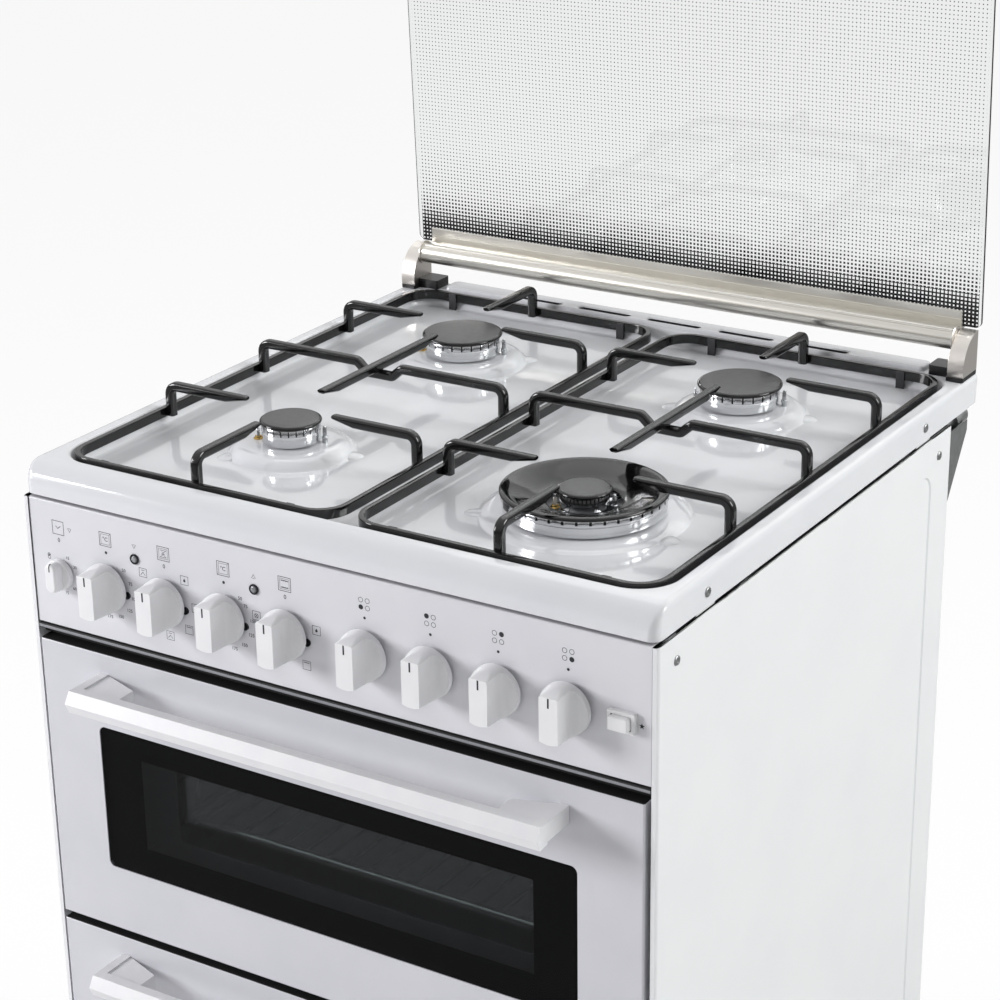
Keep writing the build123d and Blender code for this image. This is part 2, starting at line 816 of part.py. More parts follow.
def lid_rail():
    """Extruded rail: a tube on the hinge axis with a channel that clamps the glass."""
    half = rail_length / 2
    front = lid_setback - glass_gap - rail_flange_t
    back = lid_setback + lid_glass_t + glass_gap
    floor_top = channel_rise + channel_t
    tube = rod_x(rail_r, -half, half, 0, 0)
    bore = rod_x(rail_bore_r, 14.0 - half, half - 14.0, 0, 0)
    floor = block(-half, half, 0.0, back + channel_back_t, channel_rise, floor_top)
    front_lip = block(-half, half, front, lid_setback - glass_gap, channel_rise, rail_flange_height)
    back_lip = block(-half, half, back, back + channel_back_t, channel_rise, rail_flange_height - 3.0)
    rail = joined([tube, floor, front_lip, back_lip]) - bore
    return leaned(rail - rod_x(pivot_r + run_fit, -half - 1.0, half + 1.0, 0, 0))


def lid_glass():
    """Toughened glass lid."""
    w = lid_glass_width / 2
    z0 = channel_rise + channel_t + glass_gap
    pane = slab_y(-w, w, lid_setback, lid_setback + lid_glass_t, z0, z0 + lid_glass_height, 6.0)
    return leaned(pane)


def control_panel():
    """Front panel with returns, and holes for the controls."""
    w = panel_x
    panel = block(-w, w, front_y, front_y + panel_return, panel_bottom, panel_top)
    panel = fillet(panel.edges().filter_by(Axis.X).group_by(Axis.Y)[0], 1.5)
    panel = panel - block(-w + sheet, w - sheet, front_y + sheet, front_y + panel_return + 1.0,
                          panel_bottom + sheet, panel_top - sheet)
    holes = []
    for x in oven_xs + gas_xs:
        holes.append(rod_y(hub_hole_r, front_y - 1.0, front_y + 3.0, x, knob_z))
    holes.append(rod_y(hub_hole_r, front_y - 1.0, front_y + 3.0, timer_x, rim_z - timer_drop))
    for x in lamp_xs():
        holes.append(rod_y(lamp_neck_r + seat_gap, front_y - 1.0, front_y + 3.0, x, rim_z - lamp_drop))
    holes.append(block(button_x - bezel_width / 2 + bezel_lip, button_x + bezel_width / 2 - bezel_lip,
                       front_y - 1.0, front_y + 3.0, knob_z - bezel_height / 2 + bezel_lip,
                       knob_z + bezel_height / 2 - bezel_lip))
    for x in oven_xs:
        for end in (-1, 1):
            holes.append(rod_y(screw_shank_r + run_fit, front_y - 1.0, front_y + 3.0, x + end * control_screw_x,
                               knob_z - control_screw_drop))
    y, z = side_screw_places()[0]
    for side in (-1, 1):
        holes.append(rod_x(screw_shank_r + run_fit, side * panel_x - 3.0, side * panel_x + 3.0, y, z))
    return panel - Compound(holes)


def lamp_xs():
    """The two pilot lamps stand midway between the thermostat and the selector of each oven."""
    return [(oven_xs[0] + oven_xs[1]) / 2, (oven_xs[2] + oven_xs[3]) / 2]


def panel_trim():
    """Black moulding between the control panel and the upper door, with a bead along its top."""
    w = panel_x
    body = block(-w, w, front_y + 6.0, frame_y - seat_gap, trim_top - trim_height, trim_top - 5.0)
    bead = block(-w, w, front_y - 1.0, frame_y - seat_gap, trim_top - 5.0, trim_top)
    bead = fillet(bead.edges().filter_by(Axis.X).group_by(Axis.Y)[0], 2.2)
    return body + bead


def knob(x, on_tap):
    """Control knob: round skirt, full-width grip bar and a hub through the panel."""
    back = -knob_gap
    front = back - knob_length
    cone = Rot(90, 0, 0) * Cone(knob_r, knob_front_r, knob_length)
    cone = Pos(0, (back + front) / 2, 0) * cone
    for side in (-1, 1):
        x0, x1 = sorted((side * grip_width / 2, side * (knob_r + 4.0)))
        scoop = block(x0, x1, front - 1.0, back - knob_skirt, -knob_r - 2.0, knob_r + 2.0)
        inner = scoop.edges().filter_by(Axis.Z).group_by(Axis.Y)[-1].sort_by(Axis.X)
        scoop = fillet(inner[0] if side > 0 else inner[-1], 6.0)
        cone = cone - scoop
    flat = prism_x([(front - 1.0, knob_front_r - 1.2), (back, knob_r + 1.0), (back, knob_r + 9.0),
                    (front - 1.0, knob_r + 9.0)], -knob_r - 2.0, knob_r + 2.0)
    cone = cone - flat
    hub_end = hub_reach if on_tap else shaft_end
    piece = cone + rod_y(hub_r, back - 2.0, hub_end, 0, 0)
    if on_tap:
        piece = piece - rod_y(spindle_r + run_fit, back - spindle_reach - 5.0, hub_end + 1.0, 0, 0)
    return Pos(x, front_y, knob_z) * piece


def timer_knob():
    """Small soft-edged knob of the timer."""
    back = -timer_gap
    skirt = rod_y(timer_r, back - 5.0, back, 0, 0)
    skirt = fillet(skirt.edges().group_by(Axis.Y)[0], 1.5)
    half = timer_grip / 2
    grip = slab_y(-half, half, back - timer_length, back - 3.0, 0.4 - timer_r, timer_r - 0.4, half - 0.2)
    grip = fillet(grip.edges().group_by(Axis.Y)[0], 2.5)
    shaft = rod_y(hub_r, back - 3.0, shaft_end, 0, 0)
    return Pos(timer_x, front_y, rim_z - timer_drop) * joined([skirt, grip, shaft])


def oven_controls():
    """Bodies of the timer, thermostats and selectors behind the panel, with shaft bores."""
    bodies = []
    y0 = front_y + sheet + seat_gap
    for x, z, size in [(timer_x, rim_z - timer_drop, 36.0)] + [(x, knob_z, control_size) for x in oven_xs]:
        half = size / 2
        housing = slab_y(x - half, x + half, y0, y0 + control_depth, z - half, z + half, 4.0)
        housing = housing - rod_y(hub_r + run_fit, y0 - 1.0, front_y + shaft_end + 1.0, x, z)
        if size == control_size:
            for end in (-1, 1):
                housing = housing - rod_y(screw_shank_r + run_fit, y0 - 1.0, y0 + screw_length + 1.0,
                                          x + end * control_screw_x, z - control_screw_drop)
        bodies.append(housing)
    return Compound(bodies)


def tap_body(x):
    """Brass gas tap with the bore for its plug and a saddle for the manifold."""
    body = block(x - tap_width / 2, x + tap_width / 2, tap_front, tap_back, knob_z - tap_height / 2,
                 knob_z + tap_height / 2)
    outlet = block(x - 6.0, x + 6.0, tap_back - 14.0, tap_back, knob_z, knob_z + tap_height / 2 + 8.0)
    body = body + outlet
    body = body - rod_y(plug_r + run_fit, tap_front - 1.0, tap_front + plug_length + 1.0, x, knob_z)
    return body


def tap_plug(x):
    """Turning plug of a gas tap with the spindle that carries the knob."""
    plug = rod_y(plug_r, tap_front + 0.5, tap_front + 0.5 + plug_length, 0, 0)
    spindle = rod_y(spindle_r, front_y - knob_gap - spindle_reach, tap_front + 1.0, 0, 0)
    return Pos(x, 0, knob_z) * (plug + spindle)


def gas_manifold():
    """Gas rail behind the taps, its run to the back and the threaded inlet."""
    z = knob_z - tap_height / 2 - manifold_r - seat_gap
    y = tap_back - manifold_r - 4.0
    inlet_z = rim_z - inlet_drop
    points = [
        (gas_xs[0] - 25.0, y, z), (manifold_x, y, z), (manifold_x, y + 60.0, z),
        (manifold_x, y + 60.0 + abs(inlet_z - z), inlet_z), (manifold_x, rear_y - inlet_length - 8.0, inlet_z),
    ]
    pipe = swept(points, 16.0, Circle(manifold_r))
    nut = rod_y(inlet_r + 1.5, rear_y - inlet_length - 12.0, rear_y - inlet_length - 2.0, manifold_x, inlet_z)
    nipple = rod_y(inlet_r, rear_y - inlet_length - 3.0, rear_y - 3.0, manifold_x, inlet_z)
    bore = rod_y(6.0, rear_y - inlet_length - 12.0, rear_y, manifold_x, inlet_z)
    return joined([pipe, nut, nipple]) - bore


def gas_pipes():
    """Four aluminium feed pipes, each from its tap up and over the ovens to its burner cup."""
    start_y = tap_back - 7.0
    turn_y = start_y + pipe_first_turn
    lane_y = turn_y + pipe_lane
    left_x = burners[0][1]
    right_x = burners[2][1]
    lane_x = left_x + pipe_lane
    plans = [
        [(gas_xs[0], turn_y), (left_x, turn_y), (left_x, burner_front_y)],
        [(gas_xs[1], lane_y), (lane_x, lane_y), (lane_x, burner_rear_y), (left_x, burner_rear_y)],
        [(gas_xs[2], burner_rear_y), (right_x, burner_rear_y)],
        [(gas_xs[3], burner_front_y), (right_x, burner_front_y)],
    ]
    pipes = []
    for i, plan in enumerate(plans):
        name, bx, by, r, rise, head, cap = burners[i]
        run_z = pipe_run_z + (i % 2) * pipe_layer
        points = [(gas_xs[i], start_y, knob_z + tap_height / 2 + 8.0), (gas_xs[i], start_y, run_z)]
        points = points + [(x, y, run_z) for x, y in plan]
        points.append((bx, by, mound_top(rise) - cup_depth - 6.0))
        pipes.append(swept(points, pipe_bend_r, Circle(pipe_r)))
    return Compound(pipes)


def oven_cavity(z0, height, with_fan):
    """Enamelled oven liner with a front flange, and holes at the back for what passes through."""
    w = cavity_width / 2
    mouth_r = 12.0
    shell = slab_y(-w - cavity_wall, w + cavity_wall, cavity_front, cavity_back, z0 - cavity_wall,
                   z0 + height + cavity_wall, mouth_r + cavity_wall)
    flange = slab_y(-w - cavity_flange, w + cavity_flange, cavity_front, cavity_front + cavity_wall,
                    z0 - cavity_flange, z0 + height + cavity_flange, mouth_r)
    hollow = slab_y(-w, w, cavity_front - 1.0, cavity_back - cavity_wall, z0, z0 + height, mouth_r)
    liner = shell + flange - hollow
    holes = [rod_y(element_r + seat_gap, cavity_back - 3.0, cavity_back + 1.0, x, z0 + height - element_drop)
             for x in grill_leg_xs()]
    if with_fan:
        middle = z0 + height / 2
        holes.append(rod_y(fan_shaft_r + 1.0, cavity_back - 3.0, cavity_back + 1.0, 0, middle))
        for x in ring_leg_xs():
            holes.append(rod_y(element_r + seat_gap, cavity_back - 3.0, cavity_back + 1.0, x, ring_leg_z(middle)))
    return liner - Compound(holes)


def grill_leg_xs():
    """Where the two legs of each grill element go through the back of the liner."""
    return [-(grill_loops - 0.5) * grill_pitch, (grill_loops - 0.5) * grill_pitch]


def ring_leg_xs():
    return [-ring_leg_x, ring_leg_x]


def ring_leg_z(middle):
    return middle - ring_r


def heating_elements():
    """Grill loops under each oven ceiling, a lower loop under each floor and a ring round the fan."""
    back = cavity_back + 14.0
    pieces = []
    for z0, height in ovens():
        legs = grill_leg_xs()
        front = cavity_front + 60.0
        deep = cavity_back - fan_cover_depth - 40.0
        z = z0 + height - element_drop
        points = [(legs[0], back, z), (legs[0], front, z)]
        count = 2 * grill_loops - 1
        for i in range(1, count):
            x = legs[0] + i * grill_pitch
            ends = (front, deep) if i % 2 else (deep, front)
            points = points + [(x, ends[0], z), (x, ends[1], z)]
        points = points + [(legs[1], front, z), (legs[1], back, z)]
        pieces.append(swept(points, 20.0, Circle(element_r)))
        low = z0 - cavity_wall - seat_gap - element_r
        pieces.append(Pos(0, 0, low - z) * pieces[-1])
    middle = fan_middle()
    y = cavity_back - cavity_wall - fan_cover_depth / 2
    low = ring_leg_z(middle)
    high = middle + ring_r
    left, right = ring_leg_xs()
    points = [(left, back, low), (left, y, low), (-ring_r, y, low), (-ring_r, y, high),
              (ring_r, y, high), (ring_r, y, low), (right, y, low), (right, back, low)]
    ring_bends = [ring_leg_bend] + 4 * [ring_bend] + [ring_leg_bend]
    pieces.append(swept(points, ring_bends, Circle(element_r)))
    return Compound(pieces)


def ovens():
    """Lower corner height and inner height of the upper and the lower oven."""
    return [(upper_cavity_z, upper_cavity_height), (lower_cavity_z, lower_cavity_height)]


def rail_heights(z0, height):
    """Heights of the shelf rails in one oven."""
    count = int((height - rail_clear) // rail_pitch)
    return [z0 + rail_first + i * rail_pitch for i in range(count)]


def shelf_racks():
    """Wire side racks: a frame on each side of each oven, with its shelf rails."""
    racks = []
    front = cavity_front + 24.0
    back = cavity_back - cavity_wall - 40.0
    posts = (front + 30.0, back - 30.0)
    for z0, height in ovens():
        levels = rail_heights(z0, height)
        low = levels[0] - 12.0
        high = levels[-1] + 14.0
        for side in (-1, 1):
            x = side * (cavity_width / 2 - rack_offset)
            rail_x = side * (cavity_width / 2 - rack_offset - rail_inset)
            wall_x = side * (cavity_width / 2 - seat_gap)
            wires = [rod_z(rack_wire_r, low - 3.0, high + 3.0, x, y) for y in posts]
            for z in (low, high):
                wires.append(rod_y(rack_wire_r - 0.2, front + 20.0, back - 20.0, x, z))
                for y in posts:
                    wires.append(rod_x(rack_wire_r - 0.4, min(x, wall_x), max(x, wall_x), y, z))
            for z in levels:
                wires.append(rod_y(rack_wire_r, front, back, rail_x, z))
                for y in posts:
                    wires.append(rod_x(rack_wire_r - 0.6, min(x, rail_x), max(x, rail_x), y, z))
            racks.append(joined(wires))
    return racks


def oven_shelves():
    """One wire shelf in each oven, lying on the racks."""
    shelves = []
    half = cavity_width / 2 - rack_offset - rail_inset + 1.0
    y0 = cavity_front + 28.0
    y1 = y0 + shelf_depth
    for z0, height in ovens():
        z = rail_heights(z0, height)[shelf_level] + rack_wire_r + seat_gap + shelf_rim_r
        bars = [rod_y(shelf_rim_r, y0, y1, side * (half - shelf_rim_r), z) for side in (-1, 1)]
        bars = bars + [rod_x(shelf_rim_r, shelf_rim_r - half, half - shelf_rim_r, y, z) for y in (y0, y1)]
        bars.append(rod_x(shelf_rim_r, shelf_rim_r - half, half - shelf_rim_r, (y0 + y1) / 2, z))
        count = int(2 * (half - 2 * shelf_rim_r) // shelf_wire_pitch)
        for i in range(1, count + 1):
            x = (i - (count + 1) / 2) * shelf_wire_pitch
            bars.append(rod_y(shelf_wire_r, y0, y1, x, z + shelf_rim_r - shelf_wire_r))
        shelves.append(joined(bars))
    return shelves


def fan_middle():
    z0, height = ovens()[0]
    return z0 + height / 2


def fan_wheel():
    """Fan wheel with its blades and the shaft that runs into the motor."""
    z = fan_middle()
    back = cavity_back - cavity_wall - 5.0
    disc = rod_y(fan_r, back - 1.2, back, 0, 0)
    hub = rod_y(9.0, back - 9.0, back, 0, 0)
    shaft = rod_y(fan_shaft_r, back - 4.0, cavity_back + 30.0, 0, 0)
    blades = []
    for i in range(fan_blades):
        blade = block(fan_r - 22.0, fan_r - 1.0, back - fan_depth, back - 0.6, -0.6, 0.6)
        blades.append(Rot(0, 360.0 / fan_blades * i, 0) * blade)
    return Pos(0, 0, z) * joined([disc, hub, shaft] + blades)


def fan_motor():
    """Motor behind the upper oven, with the bearing bore for the fan shaft."""
    z = fan_middle()
    y0 = cavity_back + 1.0
    plate = slab_y(-48.0, 48.0, y0, y0 + 2.0, z - 48.0, z + 48.0, 8.0)
    for x in (-36.0, 36.0):
        plate = plate + slab_y(x - 7.0, x + 7.0, cavity_back, y0 + 2.0, z - 46.0, z - 34.0, 3.0)
        plate = plate + slab_y(x - 7.0, x + 7.0, cavity_back, y0 + 2.0, z + 34.0, z + 46.0, 3.0)
    body = rod_y(motor_r, y0 + 2.0, y0 + motor_length, 0, z)
    body = fillet(body.edges().group_by(Axis.Y)[-1], 4.0)
    core = slab_y(-motor_r - 6.0, motor_r + 6.0, y0 + 8.0, y0 + 26.0, z - 24.0, z + 24.0, 3.0)
    return plate + body + core - rod_y(fan_shaft_r + run_fit, cavity_back - 1.0, cavity_back + 31.0, 0, z)


def fan_cover():
    """Pressed cover over the fan, with a slotted middle and side outlets."""
    z = fan_middle()
    w = fan_cover_width / 2
    h = fan_cover_height / 2
    back = cavity_back - cavity_wall - seat_gap
    front = back - fan_cover_depth
    outer = slab_y(-w, w, front, back, z - h, z + h, 16.0)
    outer = fillet(outer.faces().sort_by(Axis.Y)[0].edges(), 4.0)
    cover = outer - slab_y(sheet - w, w - sheet, front + sheet, back + 1.0, z - h + sheet, z + h - sheet, 15.0)
    slots = []
    for i in range(fan_slots):
        dz = (i - (fan_slots - 1) / 2) * fan_slot_pitch
        reach = (48.0 * 48.0 - dz * dz) ** 0.5
        slots.append(slab_y(-reach, reach, front - 1.0, front + 3.0, z + dz - 2.0, z + dz + 2.0, 1.8))
    for side in (-1, 1):
        for i in range(fan_side_slots):
            dz = (i - (fan_side_slots - 1) / 2) * 20.0
            x0, x1 = sorted((side * (w - 3.0), side * (w + 3.0)))
            slots.append(block(x0, x1, front + 8.0, back - 8.0, z + dz - 4.0, z + dz + 4.0))
    return cover - Compound(slots)


def door_panel(bottom, height):
    """White outer skin of a door, folded back all round, with its window opening."""
    w = door_width / 2
    top = bottom + height
    back = front_y + door_shell
    skin = block(-w, w, door_front, back, bottom, top)
    rim = skin.edges().group_by(Axis.Y)[0]
    skin = fillet(rim, 2.0)
    skin = skin - block(sheet - w, w - sheet, door_front + sheet, back + 1.0, bottom + sheet, top - sheet)
    z0, z1 = window_z(bottom, height)
    half = window_width / 2
    skin = skin - slab_y(-half, half, door_front - 1.0, door_front + 3.0, z0, z1, window_corner_r)
    pad = slab_y(-half - 8.0, half + 8.0, door_front + sheet, door_front + door_glass + 1.0, z0 - 8.0, z1 + 8.0, 8.0)
    pad = pad - slab_y(-half, half, door_front, door_front + door_glass + 2.0, z0, z1, window_corner_r)
    skin = skin + pad
    notch_x = door_frame_half + hinge_side_gap
    for side in (-1, 1):
        x0, x1 = sorted((side * (notch_x - 2.0), side * (notch_x + hinge_bracket_t + 2.0)))
        skin = skin - block(x0, x1, door_front + sheet + 1.0, back + 1.0, bottom - 1.0, bottom + 3.0)
    return skin


def window_z(bottom, height):
    """Lower and upper edge of a door window."""
    return bottom + window_bottom_inset, bottom + height - window_inset


def door_window(bottom, height):
    """Dark outer glass, set flush in the skin."""
    z0, z1 = window_z(bottom, height)
    half = window_width / 2 - glass_gap
    return slab_y(-half, half, door_front + 0.3, door_front + 0.3 + door_glass, z0 + glass_gap, z1 - glass_gap,
                  window_corner_r - glass_gap)


def door_frame(bottom, height):
    """Inner frame of a door with the bosses that turn on the hinge pins."""
    w = door_frame_half
    front = front_y + door_shell
    low = bottom + door_frame_inset
    high = bottom + height - door_frame_inset
    z0, z1 = window_z(bottom, height)
    wall = 1.5
    frame = block(-w, w, front, door_back, low, high)
    frame = frame - block(wall - w, w - wall, front - 1.0, door_back - wall, low + wall, high - wall)
    clear = clear_width / 2
    frame = frame - slab_y(-clear - 8.0, clear + 8.0, front, door_back + 1.0, z0 + clear_margin - 8.0,
                           z1 - clear_margin + 8.0, 8.0)
    for side in (-1, 1):
        for z in (low + 20.0, high - 20.0):
            x0, x1 = sorted((side * w, side * (door_width / 2 - sheet)))
            frame = frame + block(x0, x1, front, front + 3.0, z + 20.0, z + 40.0) if z < high - 30.0 else frame
        z = bottom + hinge_inset_z
        x0, x1 = sorted((side * w, side * (w - hinge_pin_reach - 5.0)))
        frame = frame + block(x0, x1, hinge_y - 8.0, door_back, z - 8.0, z + 9.0)
        bore = sorted((side * (w + 1.0), side * (w - hinge_pin_reach)))
        frame = frame - rod_x(hinge_pin_r + run_fit, bore[0], bore[1], hinge_y, z)
    return frame


def door_inner_glass(bottom, height, z0, cavity_height):
    """Inner glass, wider and higher than the oven mouth."""
    half = cavity_width / 2 + glass_overlap
    return slab_y(-half, half, door_back, door_back + door_glass, z0 - glass_overlap,
                  z0 + cavity_height + glass_overlap, 6.0)


def door_handle(top):
    """Bevelled bar on two wedge-shaped brackets."""
    half = handle_length / 2
    z = top - handle_drop
    face = door_front
    rear = face - handle_reach + handle_bar_depth + 6.5
    section = [(rear, z), (face - handle_reach + 6.0, z), (face - handle_reach, z - 10.0),
               (face - handle_reach + 4.0, z - handle_height), (rear, z - handle_height + 1.0)]
    bar = prism_x(section, -half, half)
    pieces = [bar]
    for side in (-1, 1):
        outer = side * half
        inner = side * (half - bracket_length)
        plan = [(outer, face), (outer, rear - 2.0), (inner, rear - 2.0), (inner, rear + bracket_depth),
                (side * (half - bracket_foot), face)]
        bracket = prism_z(plan, z - handle_height + 3.0, z)
        pieces.append(bracket)
    return joined(pieces)


def door_seals():
    """Heat-proof seal round each oven mouth."""
    seals = []
    for z0, height in ovens():
        w = cavity_width / 2
        y0 = frame_y - seal_height
        grow = seal_offset + seal_width
        outer = slab_y(-w - grow, w + grow, y0, frame_y, z0 - grow, z0 + height + grow, 18.0)
        inner = slab_y(-w - seal_offset, w + seal_offset, y0 - 1.0, frame_y + 1.0, z0 - seal_offset,
                       z0 + height + seal_offset, 12.0)
        seal = outer - inner
        seals.append(fillet(seal.faces().sort_by(Axis.Y)[0].edges(), 2.0))
    return Compound(seals)


def indicator_lamps():
    """Two pilot lamps: lens in front of the panel, neck through it and holder behind."""
    lamps = []
    for x in lamp_xs():
        z = rim_z - lamp_drop
        lens = rod_y(lamp_r, front_y - lamp_proud, front_y, x, z)
        lens = fillet(lens.edges().group_by(Axis.Y)[0], 1.2)
        neck = rod_y(lamp_neck_r, front_y - 0.5, front_y + sheet + 1.0, x, z)
        holder = rod_y(lamp_neck_r + 1.5, front_y + sheet, front_y + lamp_length, x, z)
        lamps.append(joined([lens, neck, holder]))
    return Compound(lamps)


def ignition_switch():
    """Bezel in the panel and the switch body behind it, hollow for the button."""
    half_wide = bezel_width / 2
    half_high = bezel_height / 2
    bezel = slab_y(button_x - half_wide, button_x + half_wide, front_y - bezel_t, front_y,
                   knob_z - half_high, knob_z + half_high, 1.5)
    bezel = fillet(bezel.faces().sort_by(Axis.Y)[0].edges(), 1.0)
    neck = block(button_x - half_wide + bezel_lip + seat_gap, button_x + half_wide - bezel_lip - seat_gap,
                 front_y - 1.0, front_y + switch_depth, knob_z - half_high + bezel_lip + seat_gap,
                 knob_z + half_high - bezel_lip - seat_gap)
    well_half_wide = button_width / 2 + button_gap
    well_half_high = button_height / 2 + button_gap
    well = block(button_x - well_half_wide, button_x + well_half_wide, front_y - bezel_t - 1.0,
                 front_y + button_well, knob_z - well_half_high, knob_z + well_half_high)
    return bezel + neck - well


def ignition_button():
    """Push button of the igniter."""
    half_wide = button_width / 2
    half_high = button_height / 2
    back = front_y + button_well - button_travel - 0.5
    button = slab_y(button_x - half_wide, button_x + half_wide, front_y - button_proud, back,
                    knob_z - half_high, knob_z + half_high, 2.0)
    return fillet(button.faces().sort_by(Axis.Y)[0].edges(), 1.2)


def screw_x(side, x, y, z):
    """Screw whose head lies on a face at x and whose shank points to the middle."""
    head = sorted((side * x, side * (x + screw_head_h)))
    shank = sorted((side * (x + 0.5), side * (x - screw_length)))
    dome = rod_x(screw_head_r, head[0], head[1], y, z)
    dome = fillet(dome.edges().group_by(Axis.X)[-1 if side > 0 else 0], screw_head_h * 0.7)
    return dome + rod_x(screw_shank_r, shank[0], shank[1], y, z)


def screws():
    """Screws of the side panels, the hob rim and the oven controls."""
    pieces = []
    for side in (-1, 1):
        for y, z in side_screw_places():
            pieces.append(screw_x(side, side_x, y, z))
        for y, z in rim_screw_places():
            pieces.append(screw_x(side, half_w, y, z))
    for x in oven_xs:
        for end in (-1, 1):
            cx = x + end * control_screw_x
            head = rod_y(screw_head_r * 0.8, front_y - 1.4, front_y, cx, knob_z - control_screw_drop)
            shank = rod_y(screw_shank_r, front_y - 0.5, front_y + sheet + screw_length, cx,
                          knob_z - control_screw_drop)
            pieces.append(head + shank)
    return Compound(pieces)


def levelling_feet():
    """Four screw feet under the base."""
    feet = []
    for x in (foot_inset_x - half_w, half_w - foot_inset_x):
        for y in (front_y + foot_inset_y, side_rear_y - foot_inset_y):
            pad = rod_z(foot_r, 0, foot_h, x, y)
            pad = fillet(pad.edges().group_by(Axis.Z)[-1], 3.0)
            nut = rod_z(foot_stem_r + 5.0, base_z - 8.0, base_z, x, y)
            feet.append(pad + rod_z(foot_stem_r, foot_h - 1.0, base_z - 1.0, x, y) + nut)
    return Compound(feet)


def tap_bodies():
    return Compound([tap_body(x) for x in gas_xs])


def parts():
    """Every node by name."""
    upper = (upper_bottom, upper_door_height)
    lower = (lower_bottom, lower_door_height)
    nodes = {
        "left_side_panel": side_panel(-1),
        "right_side_panel": side_panel(1),
        "back_panels": Compound([back_panel(), rear_flue()]),
        "base_tray": base_tray(),
        "plinth_panel": plinth_panel(),
        "front_frame": Compound([front_frame()] + door_hinge_pins()),
        "hob_top": hob_top(),
        "control_panel": control_panel(),
        "panel_trim": panel_trim(),
        "upper_oven_cavity": oven_cavity(upper_cavity_z, upper_cavity_height, True),
        "lower_oven_cavity": oven_cavity(lower_cavity_z, lower_cavity_height, False),
        "heating_elements": heating_elements(),
        "shelves_and_racks": Compound(shelf_racks() + oven_shelves()),
        "fan_wheel": fan_wheel(),
        "fan_motor": fan_motor(),
        "fan_cover": fan_cover(),
        "door_seals": door_seals(),
        "upper_door_panel": door_panel(*upper),
        "upper_door_window": door_window(*upper),
        "upper_door_frame": door_frame(*upper),
        "upper_door_inner_glass": door_inner_glass(*upper, upper_cavity_z, upper_cavity_height),
        "upper_door_handle": door_handle(upper_top),
        "lower_door_panel": door_panel(*lower),
        "lower_door_window": door_window(*lower),
        "lower_door_frame": door_frame(*lower),
        "lower_door_inner_glass": door_inner_glass(*lower, lower_cavity_z, lower_cavity_height),
        "lower_door_handle": door_handle(lower_top),
        "gas_manifold": gas_manifold(),
        "gas_pipes": gas_pipes(),
        "tap_bodies": tap_bodies(),
        "burner_cups": burner_cups(),
        "burner_heads": burner_heads(),
        "burner_caps": burner_caps(),
        "burner_electrodes": Compound(electrodes(0) + electrodes(1)),
        "left_pan_support": pan_support(-1),
        "right_pan_support": pan_support(1),
        "support_pads": support_pads(),
        "hinge_bases": hinge_bases(),
        "hinge_towers": hinge_towers(),
        "lid_rail": lid_rail(),
        "lid_glass": lid_glass(),
        "oven_controls": oven_controls(),
        "indicator_lamps": indicator_lamps(),
        "ignition_switch": ignition_switch(),
        "ignition_button": ignition_button(),
        "timer_knob": timer_knob(),
        "screws": screws(),
        "levelling_feet": levelling_feet(),
    }
    oven_names = ("lower_thermostat", "lower_function", "upper_thermostat", "upper_function")
    for name, x in zip(oven_names, oven_xs):
        nodes[name + "_knob"] = knob(x, False)
    gas_names = ("front_left", "rear_left", "rear_right", "front_right")
    for name, x in zip(gas_names, gas_xs):
        nodes[name + "_knob"] = knob(x, True)
        nodes[name + "_tap_plug"] = tap_plug(x)
    return nodes


os.makedirs("parts", exist_ok=True)
for node, shape in parts().items():
    export_step(shape, "parts/" + node + ".step")
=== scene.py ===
import json
from math import atan2, cos, hypot, radians, sin, sqrt, tau

import bmesh
import bpy
from mathutils import Matrix, Vector

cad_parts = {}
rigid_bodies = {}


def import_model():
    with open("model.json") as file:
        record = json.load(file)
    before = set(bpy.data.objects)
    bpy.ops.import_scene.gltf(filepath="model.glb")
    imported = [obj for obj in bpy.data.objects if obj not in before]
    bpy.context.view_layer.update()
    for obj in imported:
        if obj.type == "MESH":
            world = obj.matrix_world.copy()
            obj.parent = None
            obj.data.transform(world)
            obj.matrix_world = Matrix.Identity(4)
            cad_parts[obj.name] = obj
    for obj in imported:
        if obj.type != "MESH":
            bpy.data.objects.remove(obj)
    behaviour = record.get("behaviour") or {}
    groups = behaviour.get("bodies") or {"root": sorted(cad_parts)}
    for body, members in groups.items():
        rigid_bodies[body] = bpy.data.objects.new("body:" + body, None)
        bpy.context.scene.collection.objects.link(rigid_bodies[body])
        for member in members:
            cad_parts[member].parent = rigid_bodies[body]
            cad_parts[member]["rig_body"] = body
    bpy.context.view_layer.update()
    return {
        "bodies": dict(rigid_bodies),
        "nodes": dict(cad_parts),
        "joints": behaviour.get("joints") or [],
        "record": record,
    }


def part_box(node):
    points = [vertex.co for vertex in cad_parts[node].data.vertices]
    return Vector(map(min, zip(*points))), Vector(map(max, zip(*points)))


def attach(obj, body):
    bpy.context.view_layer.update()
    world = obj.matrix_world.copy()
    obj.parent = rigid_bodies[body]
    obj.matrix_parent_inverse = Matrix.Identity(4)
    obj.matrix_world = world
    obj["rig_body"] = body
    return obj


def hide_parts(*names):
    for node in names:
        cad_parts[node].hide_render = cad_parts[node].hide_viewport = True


# Dressing of a free-standing cooker: gas hob, glass lid, knob panel and two drop-down oven doors.
# Metres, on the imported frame. X to the right, Y to the back, Z up from the floor.

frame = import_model()
cadNodes = frame["nodes"]
slotOf = {row["node"]: row["material_slot"] for row in frame["record"]["subparts"]}
mm = 0.001

# Places that many pieces share, read from the frame
hobLow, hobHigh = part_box("hob_top")
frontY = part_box("control_panel")[0].y
rearY = hobHigh.y
midY = (frontY + rearY) / 2
rimHeight = 27
panDepth = 15
knobDrop = 67.5
rimZ = hobLow.z
hobZ = rimZ + rimHeight * mm
panZ = hobZ - panDepth * mm
knobZ = rimZ - knobDrop * mm
